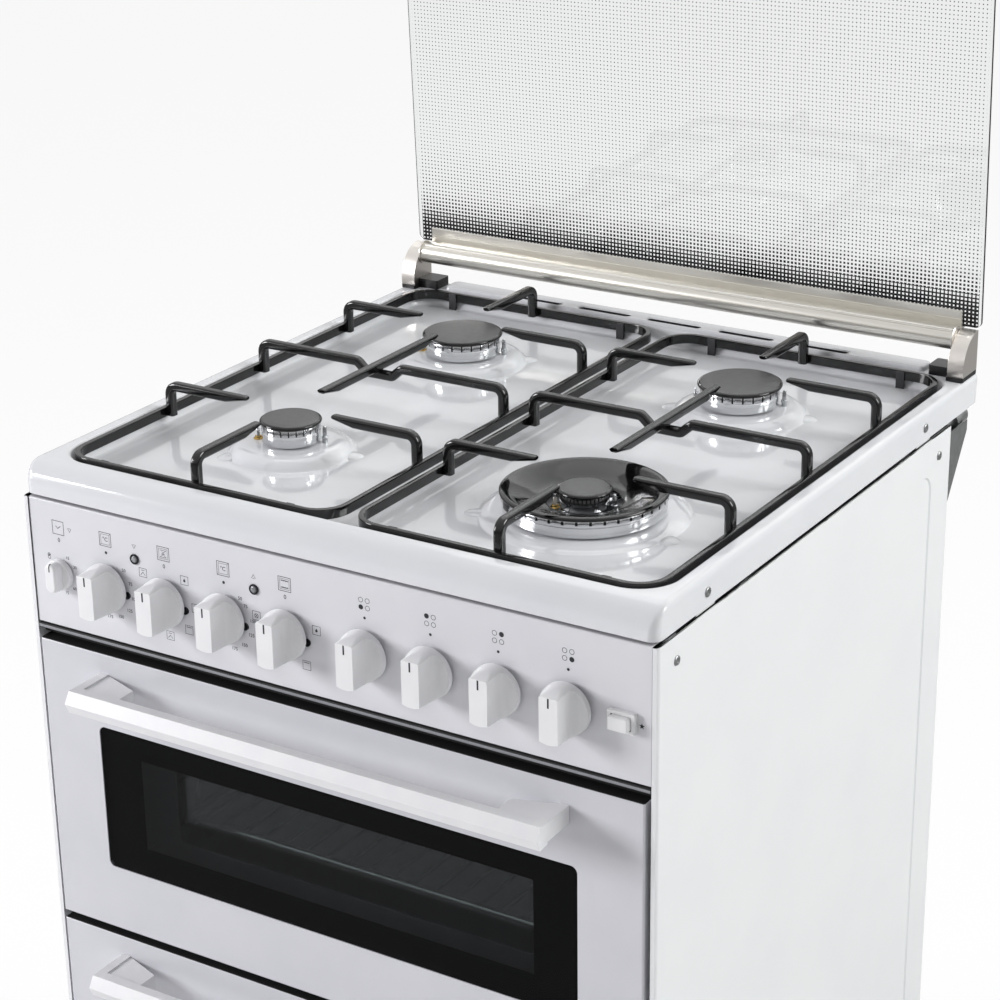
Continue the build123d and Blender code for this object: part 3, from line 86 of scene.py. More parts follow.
# Burners stand this far from the middle of the hob, in metres
burnerX = 0.144
burnerY = 0.135
whiteStrength = 1.0


def deselectAll():
    if bpy.context.mode != "OBJECT":
        bpy.ops.object.mode_set(mode="OBJECT")
    bpy.ops.object.select_all(action="DESELECT")


def activate(*pieces):
    deselectAll()
    for piece in pieces:
        piece.select_set(True)
    bpy.context.view_layer.objects.active = pieces[0]


def startEdit(piece):
    # edit mode with everything selected
    activate(piece)
    bpy.ops.object.mode_set(mode="EDIT")
    bpy.ops.mesh.select_all(action="SELECT")


def endEdit():
    bpy.ops.object.mode_set(mode="OBJECT")


def linked(name, data):
    thing = bpy.data.objects.new(name, data)
    bpy.context.scene.collection.objects.link(thing)
    return thing


def freeze(piece):
    # leaves the object at the origin, with its place in its mesh
    activate(piece)
    bpy.ops.object.transform_apply(location=True, rotation=True, scale=True)


def applyModifiers(piece):
    activate(piece)
    for modifier in list(piece.modifiers):
        bpy.ops.object.modifier_apply(modifier=modifier.name)


def pickFaces(piece, test):
    # in edit mode: selects the faces that pass a test
    bpy.ops.mesh.select_mode(type="FACE")
    bpy.ops.mesh.select_all(action="DESELECT")
    mesh = bmesh.from_edit_mesh(piece.data)
    for face in mesh.faces:
        if test(face):
            face.select_set(True)
    bmesh.update_edit_mesh(piece.data)


def cutAway(piece, cutter, selfCut=False):
    cut = piece.modifiers.new("Cut", "BOOLEAN")
    cut.object = cutter
    cut.use_self = selfCut
    applyModifiers(piece)
    bpy.data.objects.remove(cutter)


def block(place, size, turn=0):
    # a box that is turned about the vertical
    deselectAll()
    bpy.ops.mesh.primitive_cube_add(size=1, location=place, rotation=(0, 0, turn))
    cube = bpy.context.active_object
    cube.scale = size
    freeze(cube)
    return cube


def smooth(piece, degrees=32):
    activate(piece)
    bpy.ops.object.shade_smooth_by_angle(angle=radians(degrees))
    applyModifiers(piece)


def addBevel(piece, width, segments=2, degrees=30):
    bevel = piece.modifiers.new("Bevel", "BEVEL")
    bevel.width = width
    bevel.segments = segments
    bevel.limit_method = "ANGLE"
    bevel.angle_limit = radians(degrees)
    bevel.miter_outer = "MITER_ARC"


def addWeighted(piece):
    weighted = piece.modifiers.new("Weighted", "WEIGHTED_NORMAL")
    weighted.weight = 100
    weighted.keep_sharp = True


def newPiece(name, points, faces):
    mesh = bpy.data.meshes.new(name)
    mesh.from_pydata([tuple(p) for p in points], [], faces)
    mesh.validate()
    return linked(name, mesh)


def lofted(name, loops, closeEnds=True, closePath=False):
    # skin over rings of points that all have the same count
    count = len(loops[0])
    points = [p for loop in loops for p in loop]
    faces = []
    rows = len(loops) if closePath else len(loops) - 1
    for j in range(rows):
        a = j * count
        b = ((j + 1) % len(loops)) * count
        for i in range(count):
            k = (i + 1) % count
            faces.append((a + i, a + k, b + k, b + i))
    if closeEnds and not closePath:
        faces.append(tuple(reversed(range(count))))
        faces.append(tuple((len(loops) - 1) * count + i for i in range(count)))
    return newPiece(name, points, faces)


def outward(piece):
    startEdit(piece)
    bpy.ops.mesh.remove_doubles(threshold=0.00001)
    bpy.ops.mesh.normals_make_consistent(inside=False)
    endEdit()


def turned(name, profile, x, y, steps=96):
    # a (radius, height) outline in millimetres spun about a vertical axis
    points = [Vector((x + r * mm, y, z)) for r, z in profile]
    mesh = bpy.data.meshes.new(name)
    mesh.from_pydata([tuple(p) for p in points], [(i, i + 1) for i in range(len(points) - 1)], [])
    piece = linked(name, mesh)
    startEdit(piece)
    bpy.ops.mesh.spin(steps=steps, angle=tau, center=(x, y, 0), axis=(0, 0, 1))
    bpy.ops.mesh.select_all(action="SELECT")
    bpy.ops.mesh.remove_doubles(threshold=0.00001)
    bpy.ops.mesh.normals_make_consistent(inside=False)
    endEdit()
    return piece


def turnedFrom(name, profile, base, x, y, steps=96):
    # the same with heights counted in millimetres from a base
    return turned(name, [(r, base + up * mm) for r, up in profile], x, y, steps)


def roundedLoop(x0, x1, y0, y1, z, r, steps=10):
    points = []
    corners = ((x1 - r, y1 - r, 0), (x0 + r, y1 - r, 90), (x0 + r, y0 + r, 180), (x1 - r, y0 + r, 270))
    for cx, cy, start in corners:
        for i in range(steps + 1):
            a = radians(start + 90 * i / steps)
            points.append(Vector((cx + r * cos(a), cy + r * sin(a), z)))
    return points


def joinPieces(name, pieces):
    activate(*pieces)
    bpy.ops.object.join()
    pieces[0].name = name
    pieces[0].data.name = name
    return pieces[0]


def paintWith(piece, *materials):
    piece.data.materials.clear()
    for material in materials:
        piece.data.materials.append(material)


def settle(piece, body, slot, *replaced):
    # the piece rides on its body and stands for the CAD nodes that it replaces
    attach(piece, body)
    if replaced:
        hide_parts(*replaced)
    return piece


def toLinear(hexText):
    channels = [int(hexText[i:i + 2], 16) / 255 for i in (1, 3, 5)]
    return [c / 12.92 if c <= 0.04045 else ((c + 0.055) / 1.055) ** 2.4 for c in channels] + [1.0]


def addNode(tree, kind, settings=None, links=None):
    # lower-case names are properties of the node, other names and numbers are its sockets
    node = tree.nodes.new(kind)
    for key, value in (settings or {}).items():
        if isinstance(key, str) and key[0].islower():
            setattr(node, key, value)
        else:
            node.inputs[key].default_value = value
    for key, source in (links or {}).items():
        tree.links.new(source, node.inputs[key])
    return node


def newMaterial(name):
    material = bpy.data.materials.new(name)
    material.use_nodes = True
    material.node_tree.nodes.clear()
    return material, material.node_tree


def finishMaterial(tree, shader):
    addNode(tree, "ShaderNodeOutputMaterial", links={"Surface": shader})


def noise(tree, size, detail, place):
    # soft blotches of so many millimetres
    settings = {"Scale": 1000 / size, "Detail": detail}
    return addNode(tree, "ShaderNodeTexNoise", settings, {"Vector": place}).outputs["Fac"]


def ranged(tree, value, fromLow, fromHigh, toLow, toHigh):
    settings = {"From Min": fromLow, "From Max": fromHigh, "To Min": toLow, "To Max": toHigh}
    return addNode(tree, "ShaderNodeMapRange", settings, {"Value": value}).outputs["Result"]


def mixShader(tree, factor, first, second):
    return addNode(tree, "ShaderNodeMixShader", links={0: factor, 1: first, 2: second}).outputs[0]


def mixColour(tree, factor, first, second):
    settings = {"data_type": "RGBA", 6: toLinear(first), 7: toLinear(second)}
    return addNode(tree, "ShaderNodeMix", settings, {0: factor}).outputs[2]


def surface(name, base, rough, metal=0.0, coat=0.0, coatRough=0.03, ior=1.5, grain=None, mottle=None,
            wear=None, stretch=(1, 1, 1)):
    # in mm: grain is a size and a height, mottle a size, another colour and its share, wear a size and
    # the spread of the roughness
    material, tree = newMaterial(name)
    place = addNode(tree, "ShaderNodeTexCoord")
    mapped = addNode(tree, "ShaderNodeMapping", {"Scale": stretch}, {"Vector": place.outputs["Object"]})
    spot = mapped.outputs["Vector"]
    settings = {"Base Color": toLinear(base), "Roughness": rough, "Metallic": metal,
                "Coat Weight": coat, "Coat Roughness": coatRough}
    if not metal:
        settings["IOR"] = ior
    links = {}
    if mottle:
        size, other, share = mottle
        amount = ranged(tree, noise(tree, size, 3.0, spot), 0.35, 0.65, 0.0, share)
        links["Base Color"] = mixColour(tree, amount, base, other)
    if wear:
        size, spread = wear
        links["Roughness"] = ranged(tree, noise(tree, size, 4.0, spot), 0.0, 1.0, max(rough - spread, 0.02),
                                    rough + spread)
    if grain:
        size, height = grain
        bump = addNode(tree, "ShaderNodeBump", {"Strength": 1.0, "Distance": height * mm},
                       {"Height": noise(tree, size, 2.0, spot)})
        links["Normal"] = bump.outputs["Normal"]
        if coat:
            links["Coat Normal"] = bump.outputs["Normal"]
    shader = addNode(tree, "ShaderNodeBsdfPrincipled", settings, links)
    finishMaterial(tree, shader.outputs["BSDF"])
    return material


# Camera, set to the viewing point of the photograph: metres, degrees and millimetres of lens
cameraFacts = {"place": (1.1016, -1.7571, 1.6581), "azimuth": 32.816, "elevation": 22.017, "roll": 1.11,
               "lens": 92.84, "shiftX": 0.0247, "shiftY": 0.0109}


def addCamera(facts):
    azimuth, elevation, roll = (radians(facts[key]) for key in ("azimuth", "elevation", "roll"))
    ahead = Vector((-sin(azimuth) * cos(elevation), cos(azimuth) * cos(elevation), -sin(elevation)))
    across = Vector((cos(azimuth), sin(azimuth), 0))
    down = ahead.cross(across)
    rolledAcross = across * cos(roll) + down * sin(roll)
    rolledDown = down * cos(roll) - across * sin(roll)
    turn = Matrix((rolledAcross, -rolledDown, -ahead)).transposed()
    data = bpy.data.cameras.new("photoCamera")
    data.lens = facts["lens"]
    data.shift_x = facts["shiftX"]
    data.shift_y = facts["shiftY"]
    data.clip_end = 60
    camera = linked("photoCamera", data)
    camera.matrix_world = Matrix.Translation(facts["place"]) @ turn.to_4x4()
    bpy.context.scene.camera = camera


addCamera(cameraFacts)
print("camera set")

# Vitreous enamel on pressed steel: hard, glassy, with a faint orange peel that bends reflections
whiteEnamel = surface("whiteVitreousEnamel", "#E1E2E5", 0.1, coat=0.4, coatRough=0.02, grain=(9, 0.006),
                      mottle=(70, "#DCDDE1", 0.6), wear=(35, 0.02))
# The same enamel, duller and a little greyer on the panel, and greyer still on the doors as painted shade for
# the light that falls off down the front; a flat satin paint on the sides
panelEnamel = surface("whitePanelEnamel", "#DEDEE2", 0.24, coat=0.4, coatRough=0.05, grain=(6, 0.01),
                      mottle=(60, "#D9D9DE", 0.6), wear=(30, 0.03))
# painted shade: a darker copy of the panel enamel for the less lit doors
shadedDoorEnamel = surface("whiteDoorEnamelPaintedShade", "#D2D2D7", 0.24, coat=0.4, coatRough=0.05, grain=(6, 0.01),
                     mottle=(60, "#CDCDD3", 0.6), wear=(30, 0.03))
sideEnamel = surface("whiteSidePaint", "#E9EAEB", 0.3, coat=0.25, coatRough=0.1, grain=(3, 0.012),
                     mottle=(90, "#E4E5E7", 0.6), wear=(40, 0.04))
# Black vitreous enamel on steel bars: deep gloss with a slightly uneven skin
blackEnamel = surface("blackVitreousEnamel", "#060607", 0.12, ior=1.56, grain=(4, 0.014),
                      mottle=(12, "#0D0D0E", 0.7), wear=(9, 0.05))
# Enamelled steel burner cap: a finely textured top that reads mid grey against the light, and a glossy rim
capEnamel = surface("satinCapEnamel", "#262628", 0.36, coat=0.25, coatRough=0.25, grain=(0.9, 0.02),
                    mottle=(5, "#2E2E30", 0.6), wear=(6, 0.05))
capRimEnamel = surface("glossCapEnamel", "#070708", 0.08, grain=(3, 0.008), mottle=(8, "#121213", 0.5))
# Oven enamel: dark blue grey with paler flecks, and a plain dark grey on the frames
ovenEnamel = surface("speckledOvenEnamel", "#23252A", 0.3, coat=0.5, coatRough=0.08, grain=(3, 0.02),
                     mottle=(1.4, "#5C6068", 0.35), wear=(12, 0.05))
frameEnamel = surface("darkFrameEnamel", "#2B2C2F", 0.34, coat=0.3, coatRough=0.12, grain=(2.5, 0.015),
                      mottle=(20, "#323337", 0.6))
# Turned and polished aluminium: rings of the lathe stretch the highlights; cast aluminium is dull and grainy
burnerAluminium = surface("polishedAluminium", "#D7D8DA", 0.17, metal=1.0, grain=(1.2, 0.006),
                          wear=(5, 0.05), stretch=(1, 1, 6))
castAluminium = surface("castAluminium", "#A9ABAE", 0.42, metal=1.0, grain=(1.0, 0.06),
                        mottle=(6, "#9A9CA0", 0.6))
# Anodised aluminium section, satin with a warm tint, drawn lengthwise
railAluminium = surface("champagneAnodisedAluminium", "#E0DDD6", 0.28, metal=1.0, grain=(0.8, 0.0005),
                        wear=(4, 0.008), stretch=(0.04, 1, 1))
# Die-cast zinc with a warm satin skin; zinc-coated sheet with a cloudy spangle; bright stainless steel
towerMetal = surface("satinDieCastZinc", "#E6E1DB", 0.32, metal=1.0, grain=(0.9, 0.012), wear=(6, 0.05))
galvanised = surface("galvanisedSteel", "#A1A2A2", 0.38, metal=1.0, mottle=(9, "#B5B7B8", 0.8), wear=(7, 0.1),
                     grain=(2, 0.01))
stainless = surface("stainlessSteel", "#B9BBBD", 0.26, metal=1.0, grain=(0.7, 0.01), wear=(5, 0.06))
# Chromed wire with mirror highlights, heater sheaths browned by heat, and yellow brass with tool marks
chrome = surface("chromedSteelWire", "#D3D4D6", 0.09, metal=1.0, grain=(3, 0.006), wear=(8, 0.03))
elementSteel = surface("heatTintedSteelSheath", "#4A4644", 0.42, metal=1.0, mottle=(14, "#5E5148", 0.7),
                       grain=(0.8, 0.02))
brass = surface("machinedBrass", "#B79A5E", 0.25, metal=1.0, grain=(0.8, 0.008), wear=(4, 0.06))
# Oil-black screws, and a black paint on the motor that also serves as painted shade deep in the flame ports
darkSteel = surface("burnishedScrewSteel", "#3B3C3F", 0.34, metal=1.0, grain=(0.8, 0.01), wear=(2, 0.06))
motorPaintAndPortShade = surface("blackMotorPaintAndPortShade", "#1D1E20", 0.45, grain=(1.2, 0.03), mottle=(8, "#26272A", 0.5))
# Moulded plastics: black with a soft sheen, white knobs, and a coarser white on the handles
blackAbs = surface("blackAbsMoulding", "#121214", 0.34, grain=(0.8, 0.018), mottle=(10, "#19191B", 0.6),
                   wear=(6, 0.05))
whiteAbs = surface("whiteAbsMoulding", "#EDEDEE", 0.3, coat=0.15, coatRough=0.1, grain=(1.0, 0.01),
                   mottle=(25, "#E8E8EA", 0.6), wear=(8, 0.04))
handleAbs = surface("whiteHandlePlastic", "#EBEBEC", 0.33, coat=0.2, coatRough=0.14, grain=(1.1, 0.014),
                    mottle=(25, "#E5E5E8", 0.6), wear=(9, 0.04))
# Painted highlight: a mid-grey band on the front of the trim's bead stands for the line of light it catches,
# over a matt black that takes none
beadPaintedHighlight = surface("trimBeadPaintedHighlight", "#8F9094", 0.3, coat=0.2, coatRough=0.1, grain=(1.0, 0.01),
                   mottle=(14, "#85868B", 0.6))
# the trim's own black moulding, made very dark and matt as painted shade of the gap between panel and door;
# also painted on the doors' top edges as shade
blackTrimAndPaintedShade = surface("blackMouldingAndPaintedShade", "#050506", 0.62, grain=(0.8, 0.015), mottle=(9, "#0A0A0B", 0.6))
# Dull rubber pads, a woven seal that takes the light in tufts, and a glazed cream ceramic
rubber = surface("siliconeRubber", "#2A2A2D", 0.55, grain=(0.7, 0.03), mottle=(7, "#333337", 0.6))
sealFibre = surface("braidedGlassSeal", "#4B4C4E", 0.75, grain=(1.5, 0.25), mottle=(2.2, "#63646A", 0.7))
ceramic = surface("sparkCeramic", "#E7E3DA", 0.22, coat=0.5, coatRough=0.05, grain=(2, 0.01),
                  mottle=(4, "#DAD5CA", 0.5))
# Flat dark ink of the printed marks, and a smoked lens with a bright cloudy middle
printInk = surface("screenPrintInk", "#26272B", 0.5, grain=(0.8, 0.01), mottle=(3, "#2E2F34", 0.5))
lampLens = surface("smokedLampLens", "#7D7E82", 0.1, coat=0.5, coatRough=0.04, grain=(1.6, 0.05),
                   mottle=(2.5, "#A3A3A6", 0.8))
print("materials ready")

# Every CAD node with its finish and, in millimetres, the rounding of its edges
dressing = {
    "left_side_panel": (sideEnamel, 0.8), "right_side_panel": (sideEnamel, 0.8),
    "plinth_panel": (sideEnamel, 0.8), "back_panels": (galvanised, 0.3), "base_tray": (galvanised, 0.3),
    "front_frame": (frameEnamel, 0.4), "control_panel": (panelEnamel, 0.3),
    "upper_oven_cavity": (ovenEnamel, 0.4), "lower_oven_cavity": (ovenEnamel, 0.4),
    "heating_elements": (elementSteel, 0), "shelves_and_racks": (chrome, 0), "fan_wheel": (stainless, 0.2),
    "fan_motor": (motorPaintAndPortShade, 0.5), "fan_cover": (ovenEnamel, 0.3), "door_seals": (sealFibre, 0.6),
    "gas_manifold": (galvanised, 0.3), "gas_pipes": (castAluminium, 0), "tap_bodies": (brass, 0.5),
    "burner_cups": (castAluminium, 0.3), "support_pads": (rubber, 0.4), "hinge_bases": (blackAbs, 0.7),
    "hinge_towers": (towerMetal, 0.9), "oven_controls": (blackAbs, 0.6), "ignition_switch": (whiteAbs, 0.3),
    "ignition_button": (whiteAbs, 0.2), "timer_knob": (whiteAbs, 0.2), "levelling_feet": (blackAbs, 0.5),
    "upper_door_panel": (shadedDoorEnamel, 0.5), "lower_door_panel": (shadedDoorEnamel, 0.5),
    "upper_door_frame": (frameEnamel, 0.4), "lower_door_frame": (frameEnamel, 0.4),
    "upper_door_handle": (handleAbs, 0.9), "lower_door_handle": (handleAbs, 0.9),
    "front_left_tap_plug": (brass, 0.2), "rear_left_tap_plug": (brass, 0.2),
    "rear_right_tap_plug": (brass, 0.2), "front_right_tap_plug": (brass, 0.2),
    "lower_thermostat_knob": (whiteAbs, 0.5), "lower_function_knob": (whiteAbs, 0.5),
    "upper_thermostat_knob": (whiteAbs, 0.5), "upper_function_knob": (whiteAbs, 0.5),
    "front_left_knob": (whiteAbs, 0.5), "rear_left_knob": (whiteAbs, 0.5),
    "rear_right_knob": (whiteAbs, 0.5), "front_right_knob": (whiteAbs, 0.5),
}


def skinOf(node, material, rounding, name=None, reshape=None):
    # a merged copy of a CAD node with rounded, softly shaded edges
    piece = linked(name or node + "Skin", cadNodes[node].data.copy())
    startEdit(piece)
    bpy.ops.mesh.remove_doubles(threshold=0.000005)
    bpy.ops.mesh.dissolve_limited(angle_limit=radians(0.4))
    endEdit()
    if reshape:
        reshape(piece)
    if rounding:
        addBevel(piece, rounding * mm, 2, 28)
    applyModifiers(piece)
    bpy.ops.object.shade_smooth_by_angle(angle=radians(33))
    addWeighted(piece)
    applyModifiers(piece)
    paintWith(piece, material)
    return piece


# Millimetres, apart from edgeGrowth, the factor by which the rounded front edge grows
sideFacts = {"out": 3.0, "cadEdge": 0.95, "edgeGrowth": 5.2, "topGap": 3.0, "sheetReach": 2.05}
handleFacts = {"band": 8.5, "reach": 60, "depth": 31.5, "sunk": 1.3}


def keepPart(piece, level, above):
    # cuts the piece flat at one height and keeps what is above or below it
    startEdit(piece)
    bpy.ops.mesh.bisect(plane_co=(0, 0, level), plane_no=(0, 0, 1), clear_inner=above, clear_outer=not above,
                        use_fill=True)
    endEdit()


def fullerSide(piece):
    # the outer sheet stands a little proud of the hob and turns round its front edge in a broad curve
    facts = sideFacts
    outer = max(abs(vertex.co.x) for vertex in piece.data.vertices)
    front = min(vertex.co.y for vertex in piece.data.vertices)
    side = 1 if piece.data.vertices[0].co.x > 0 else -1
    edge = outer + facts["out"] * mm
    tabs = linked("hobTabs", piece.data.copy())
    top = rimZ - facts["topGap"] * mm + 0.01 * mm
    keepPart(tabs, top, True)
    keepPart(piece, top, False)
    for vertex in piece.data.vertices:
        if outer - abs(vertex.co.x) < facts["sheetReach"] * mm:
            vertex.co.x += side * facts["out"] * mm
        inward, back = edge - abs(vertex.co.x), vertex.co.y - front
        if inward < facts["cadEdge"] * mm and back < facts["cadEdge"] * mm:
            vertex.co.x = side * (edge - inward * facts["edgeGrowth"])
            vertex.co.y = front + back * facts["edgeGrowth"]
    joinPieces(piece.name, [piece, tabs])


def sinkBrackets(piece):
    # the top of each bracket lies a little lower inside a raised outer band
    facts = handleFacts
    spots = [vertex.co for vertex in piece.data.vertices]
    half, back, top = max(p.x for p in spots), max(p.y for p in spots), max(p.z for p in spots)
    size = ((facts["reach"] - facts["band"]) * mm, (facts["depth"] + 2) * mm, 2 * facts["sunk"] * mm)
    for side in (-1, 1):
        middle = side * (half - (facts["band"] + facts["reach"]) / 2 * mm)
        cutAway(piece, block((middle, back - (facts["depth"] / 2 - 1) * mm, top), size))


def blackTop(piece):
    # painted shade: the upper edge of a door is painted matt black for the shadow that lies in the gap under
    # the panel's trim
    piece.data.materials.append(blackTrimAndPaintedShade)
    top = max(vertex.co.z for vertex in piece.data.vertices)
    for face in piece.data.polygons:
        if face.normal.z > 0.75 and face.center.z > top - 1.5 * mm:
            face.material_index = 1


reshapes = {"left_side_panel": fullerSide, "right_side_panel": fullerSide, "upper_door_handle": sinkBrackets,
            "lower_door_handle": sinkBrackets}
skins = {}
for node, (material, rounding) in dressing.items():
    skins[node] = skinOf(node, material, rounding, reshape=reshapes.get(node))
    # the door tops get painted shade
    if node.endswith("door_panel"):
        blackTop(skins[node])
    settle(skins[node], cadNodes[node]["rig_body"], slotOf[node], node)
print("CAD pieces dressed:", len(skins))


# Hob: pressed steel sheet with a rolled rim, a sunk pan, four mounds and a slotted strip at the back.
# Millimetres and degrees, apart from x and y, which are metres. Ears are (angle, distance from the burner).
hobFacts = {"cornerRadius": 9, "edgeRadius": 6, "frontRoll": 20, "sideRoll": 5, "rollSteps": 14, "margin": 13,
            "frontMargin": 23.6, "rearMargin": 25, "panCorner": 34, "wallSlope": 60, "wallTopRadius": 3.5,
            "wallFootRadius": 5, "sheet": 1.2, "stripLength": 512, "stripRise": 4, "slots": 5,
            "slotPitch": 76, "slotLength": 57, "slotWidth": 7.6, "slotBack": 18, "slotLip": 1.2,
            "moundReach": 15, "wokHole": 28.3, "holeInset": 6.7, "lowEar": 2.4, "highEar": 3.2}
burnerFacts = {
    "frontLeft": {"x": -burnerX, "y": midY - burnerY, "mound": 41, "rise": 9, "head": 24.5, "cap": 26.7,
                  "ports": 24, "ears": ((-132, 52), (15, 52))},
    "rearLeft": {"x": -burnerX, "y": midY + burnerY, "mound": 46, "rise": 9, "head": 34, "cap": 37.3,
                 "ports": 24, "ears": ((-154, 57), (33, 57))},
    "rearRight": {"x": burnerX, "y": midY + burnerY, "mound": 46, "rise": 9, "head": 34, "cap": 37.3,
                  "ports": 24, "ears": ((-166, 57), (14, 57))},
    "wok": {"x": burnerX, "y": midY - burnerY, "mound": 72, "rise": 3.5, "head": 66, "cap": 68.3,
            "ports": 38, "ears": ((-151, 84), (-11, 84))},
}
moundSteps = 96
slotY = rearY - hobFacts["slotBack"] * mm


def hobLoop(side, front, rear, z, radius):
    # a rounded outline, each edge set in from the hob's outside by so many millimetres
    return roundedLoop(hobLow.x + side * mm, hobHigh.x - side * mm, frontY + front * mm, rearY - rear * mm, z,
                       radius * mm, 12)


def panLoop(inset, z):
    facts = hobFacts
    beyond = inset - facts["margin"]
    return hobLoop(inset, facts["frontMargin"] + beyond, facts["rearMargin"] + beyond, z,
                   facts["panCorner"] - beyond)


def hobShell():
    # broad roll down the front, tighter rolls at the sides, flat band and pan wall as one skin of loops
    facts = hobFacts
    slope = radians(facts["wallSlope"])
    front, side = facts["frontRoll"], facts["sideRoll"]
    loops = [hobLoop(0, 0, 0, z, facts["cornerRadius"]) for z in (rimZ, rimZ + 0.8 * mm)]
    for i in range(facts["rollSteps"] + 1):
        a = radians(90) * i / facts["rollSteps"]
        drop = front * (1 - sin(a))
        inset = side - sqrt(max(side ** 2 - (side - drop) ** 2, 0)) if drop < side else 0
        share = min(1, 2 * i / facts["rollSteps"])
        blend = facts["cornerRadius"] + (facts["edgeRadius"] - facts["cornerRadius"]) * share
        loops.append(hobLoop(inset, front * (1 - cos(a)), inset, hobZ - drop * mm, blend - inset * 0.5))
    topReach = facts["wallTopRadius"] * sin(slope / 2) / cos(slope / 2)
    footReach = facts["wallFootRadius"] * sin(slope / 2) / cos(slope / 2)
    run = panDepth * cos(slope) / sin(slope)
    for i in range(6):
        a = slope * i / 5
        inset = facts["margin"] - topReach + facts["wallTopRadius"] * sin(a)
        height = facts["wallTopRadius"] * (1 - cos(a))
        loops.append(panLoop(inset, hobZ - height * mm))
    for i in range(7):
        a = slope * (1 - i / 6)
        inset = facts["margin"] + run + footReach - facts["wallFootRadius"] * sin(a)
        height = facts["wallFootRadius"] * (1 - cos(a))
        loops.append(panLoop(inset, panZ + height * mm))
    return lofted("hobShell", loops, closeEnds=False), loops[-1]


def panFloor(outline):
    # the flat floor round the four mounds
    points = list(outline)
    edges = [(i, (i + 1) % len(outline)) for i in range(len(outline))]
    for facts in burnerFacts.values():
        start = len(points)
        reach = (facts["mound"] + hobFacts["moundReach"]) * mm
        for i in range(moundSteps):
            a = tau * i / moundSteps
            points.append(Vector((facts["x"] + reach * cos(a), facts["y"] + reach * sin(a), panZ)))
            edges.append((start + i, start + (i + 1) % moundSteps))
    mesh = bpy.data.meshes.new("panFloor")
    mesh.from_pydata([tuple(p) for p in points], edges, [])
    piece = linked("panFloor", mesh)
    startEdit(piece)
    bpy.ops.mesh.fill(use_beauty=True)
    endEdit()
    return piece


def mound(name, facts):
    # convex shoulder over a soft crease at the foot, with the hole for the burner cup
    r, rise = facts["mound"], facts["rise"]
    hole = hobFacts["wokHole"] if name == "wok" else facts["head"] - hobFacts["holeInset"]
    shape = ((hobFacts["moundReach"], 0), (14, 0.02), (13, 0.1), (12, 0.24), (11, 0.38), (9.5, 0.54),
             (8, 0.66), (6, 0.78), (4, 0.865), (2, 0.92), (0, 0.95), (-1.5, 0.965), (-3, 0.98), (-5, 1.0))
    profile = [(r + out, panZ + up * rise * mm) for out, up in shape]
    profile.append((hole + 1.5, panZ + rise * mm))
    profile.append((hole + 0.4, panZ + (rise - 0.4) * mm))
    profile.append((hole, panZ + (rise - 2) * mm))
    return turned(name + "Mound", profile, facts["x"], facts["y"], moundSteps)


def pressedEar(facts, angle, reach):
    # small oval boss that is pressed beside the mound for the electrode screw
    a = radians(angle)
    deselectAll()
    place = (facts["x"] + reach * mm * cos(a), facts["y"] + reach * mm * sin(a), panZ - 0.6 * mm)
    bpy.ops.mesh.primitive_uv_sphere_add(segments=32, ring_count=16, radius=1, location=place,
                                         rotation=(0, 0, a))
    ear = bpy.context.active_object
    ear.scale = (13 * mm, 10 * mm, (hobFacts["lowEar"] if facts["rise"] < 5 else hobFacts["highEar"]) * mm)
    freeze(ear)
    startEdit(ear)
    bpy.ops.mesh.bisect(plane_co=(0, 0, panZ + 0.02 * mm), plane_no=(0, 0, 1), clear_inner=True,
                        use_fill=False)
    endEdit()
    return ear


def rearStrip():
    # raised strip in front of the lid, with five vent slots through it
    facts = hobFacts
    half = facts["stripLength"] / 2
    top = hobZ + facts["stripRise"] * mm
    y1 = rearY - 2 * mm
    loops = []
    rise = ((0, hobZ - 0.4 * mm), (0.3, top - 2 * mm), (0.9, top - 0.8 * mm), (1.9, top - 0.15 * mm),
            (2.9, top))
    for inset, z in rise:
        front = rearY - (facts["rearMargin"] - 0.6 - inset) * mm
        loops.append(roundedLoop((inset - half) * mm, (half - inset) * mm, front, y1 - inset * mm, z,
                                 5 * mm, 6))
    strip = lofted("rearStrip", loops)
    lip = facts["slotLip"] * mm
    for i in range(facts["slots"]):
        x = (i - (facts["slots"] - 1) / 2) * facts["slotPitch"] * mm
        loops = []
        for z, wide in ((hobZ - 8 * mm, 0), (top - lip, 0), (top + 0.3 * mm, lip)):
            reach, width = facts["slotLength"] / 2 * mm + wide, facts["slotWidth"] / 2 * mm + wide
            loops.append(roundedLoop(x - reach, x + reach, slotY - width, slotY + width, z,
                                     width - 0.1 * mm, 6))
        cutAway(strip, lofted("slotCutter", loops))
    return strip


def darkenSlots(piece):
    # painted shade: black on the deep walls inside the slots, for the dark space under the hob
    facts = hobFacts
    middles = [(i - (facts["slots"] - 1) / 2) * facts["slotPitch"] * mm for i in range(facts["slots"])]
    for face in piece.data.polygons:
        spot = face.center
        inSlot = any(abs(spot.x - middle) < 30 * mm for middle in middles)
        deep = spot.z < hobZ + 3.0 * mm and abs(spot.y - slotY) < (facts["slotWidth"] / 2 + 0.1) * mm
        if deep and inSlot:
            face.material_index = 1


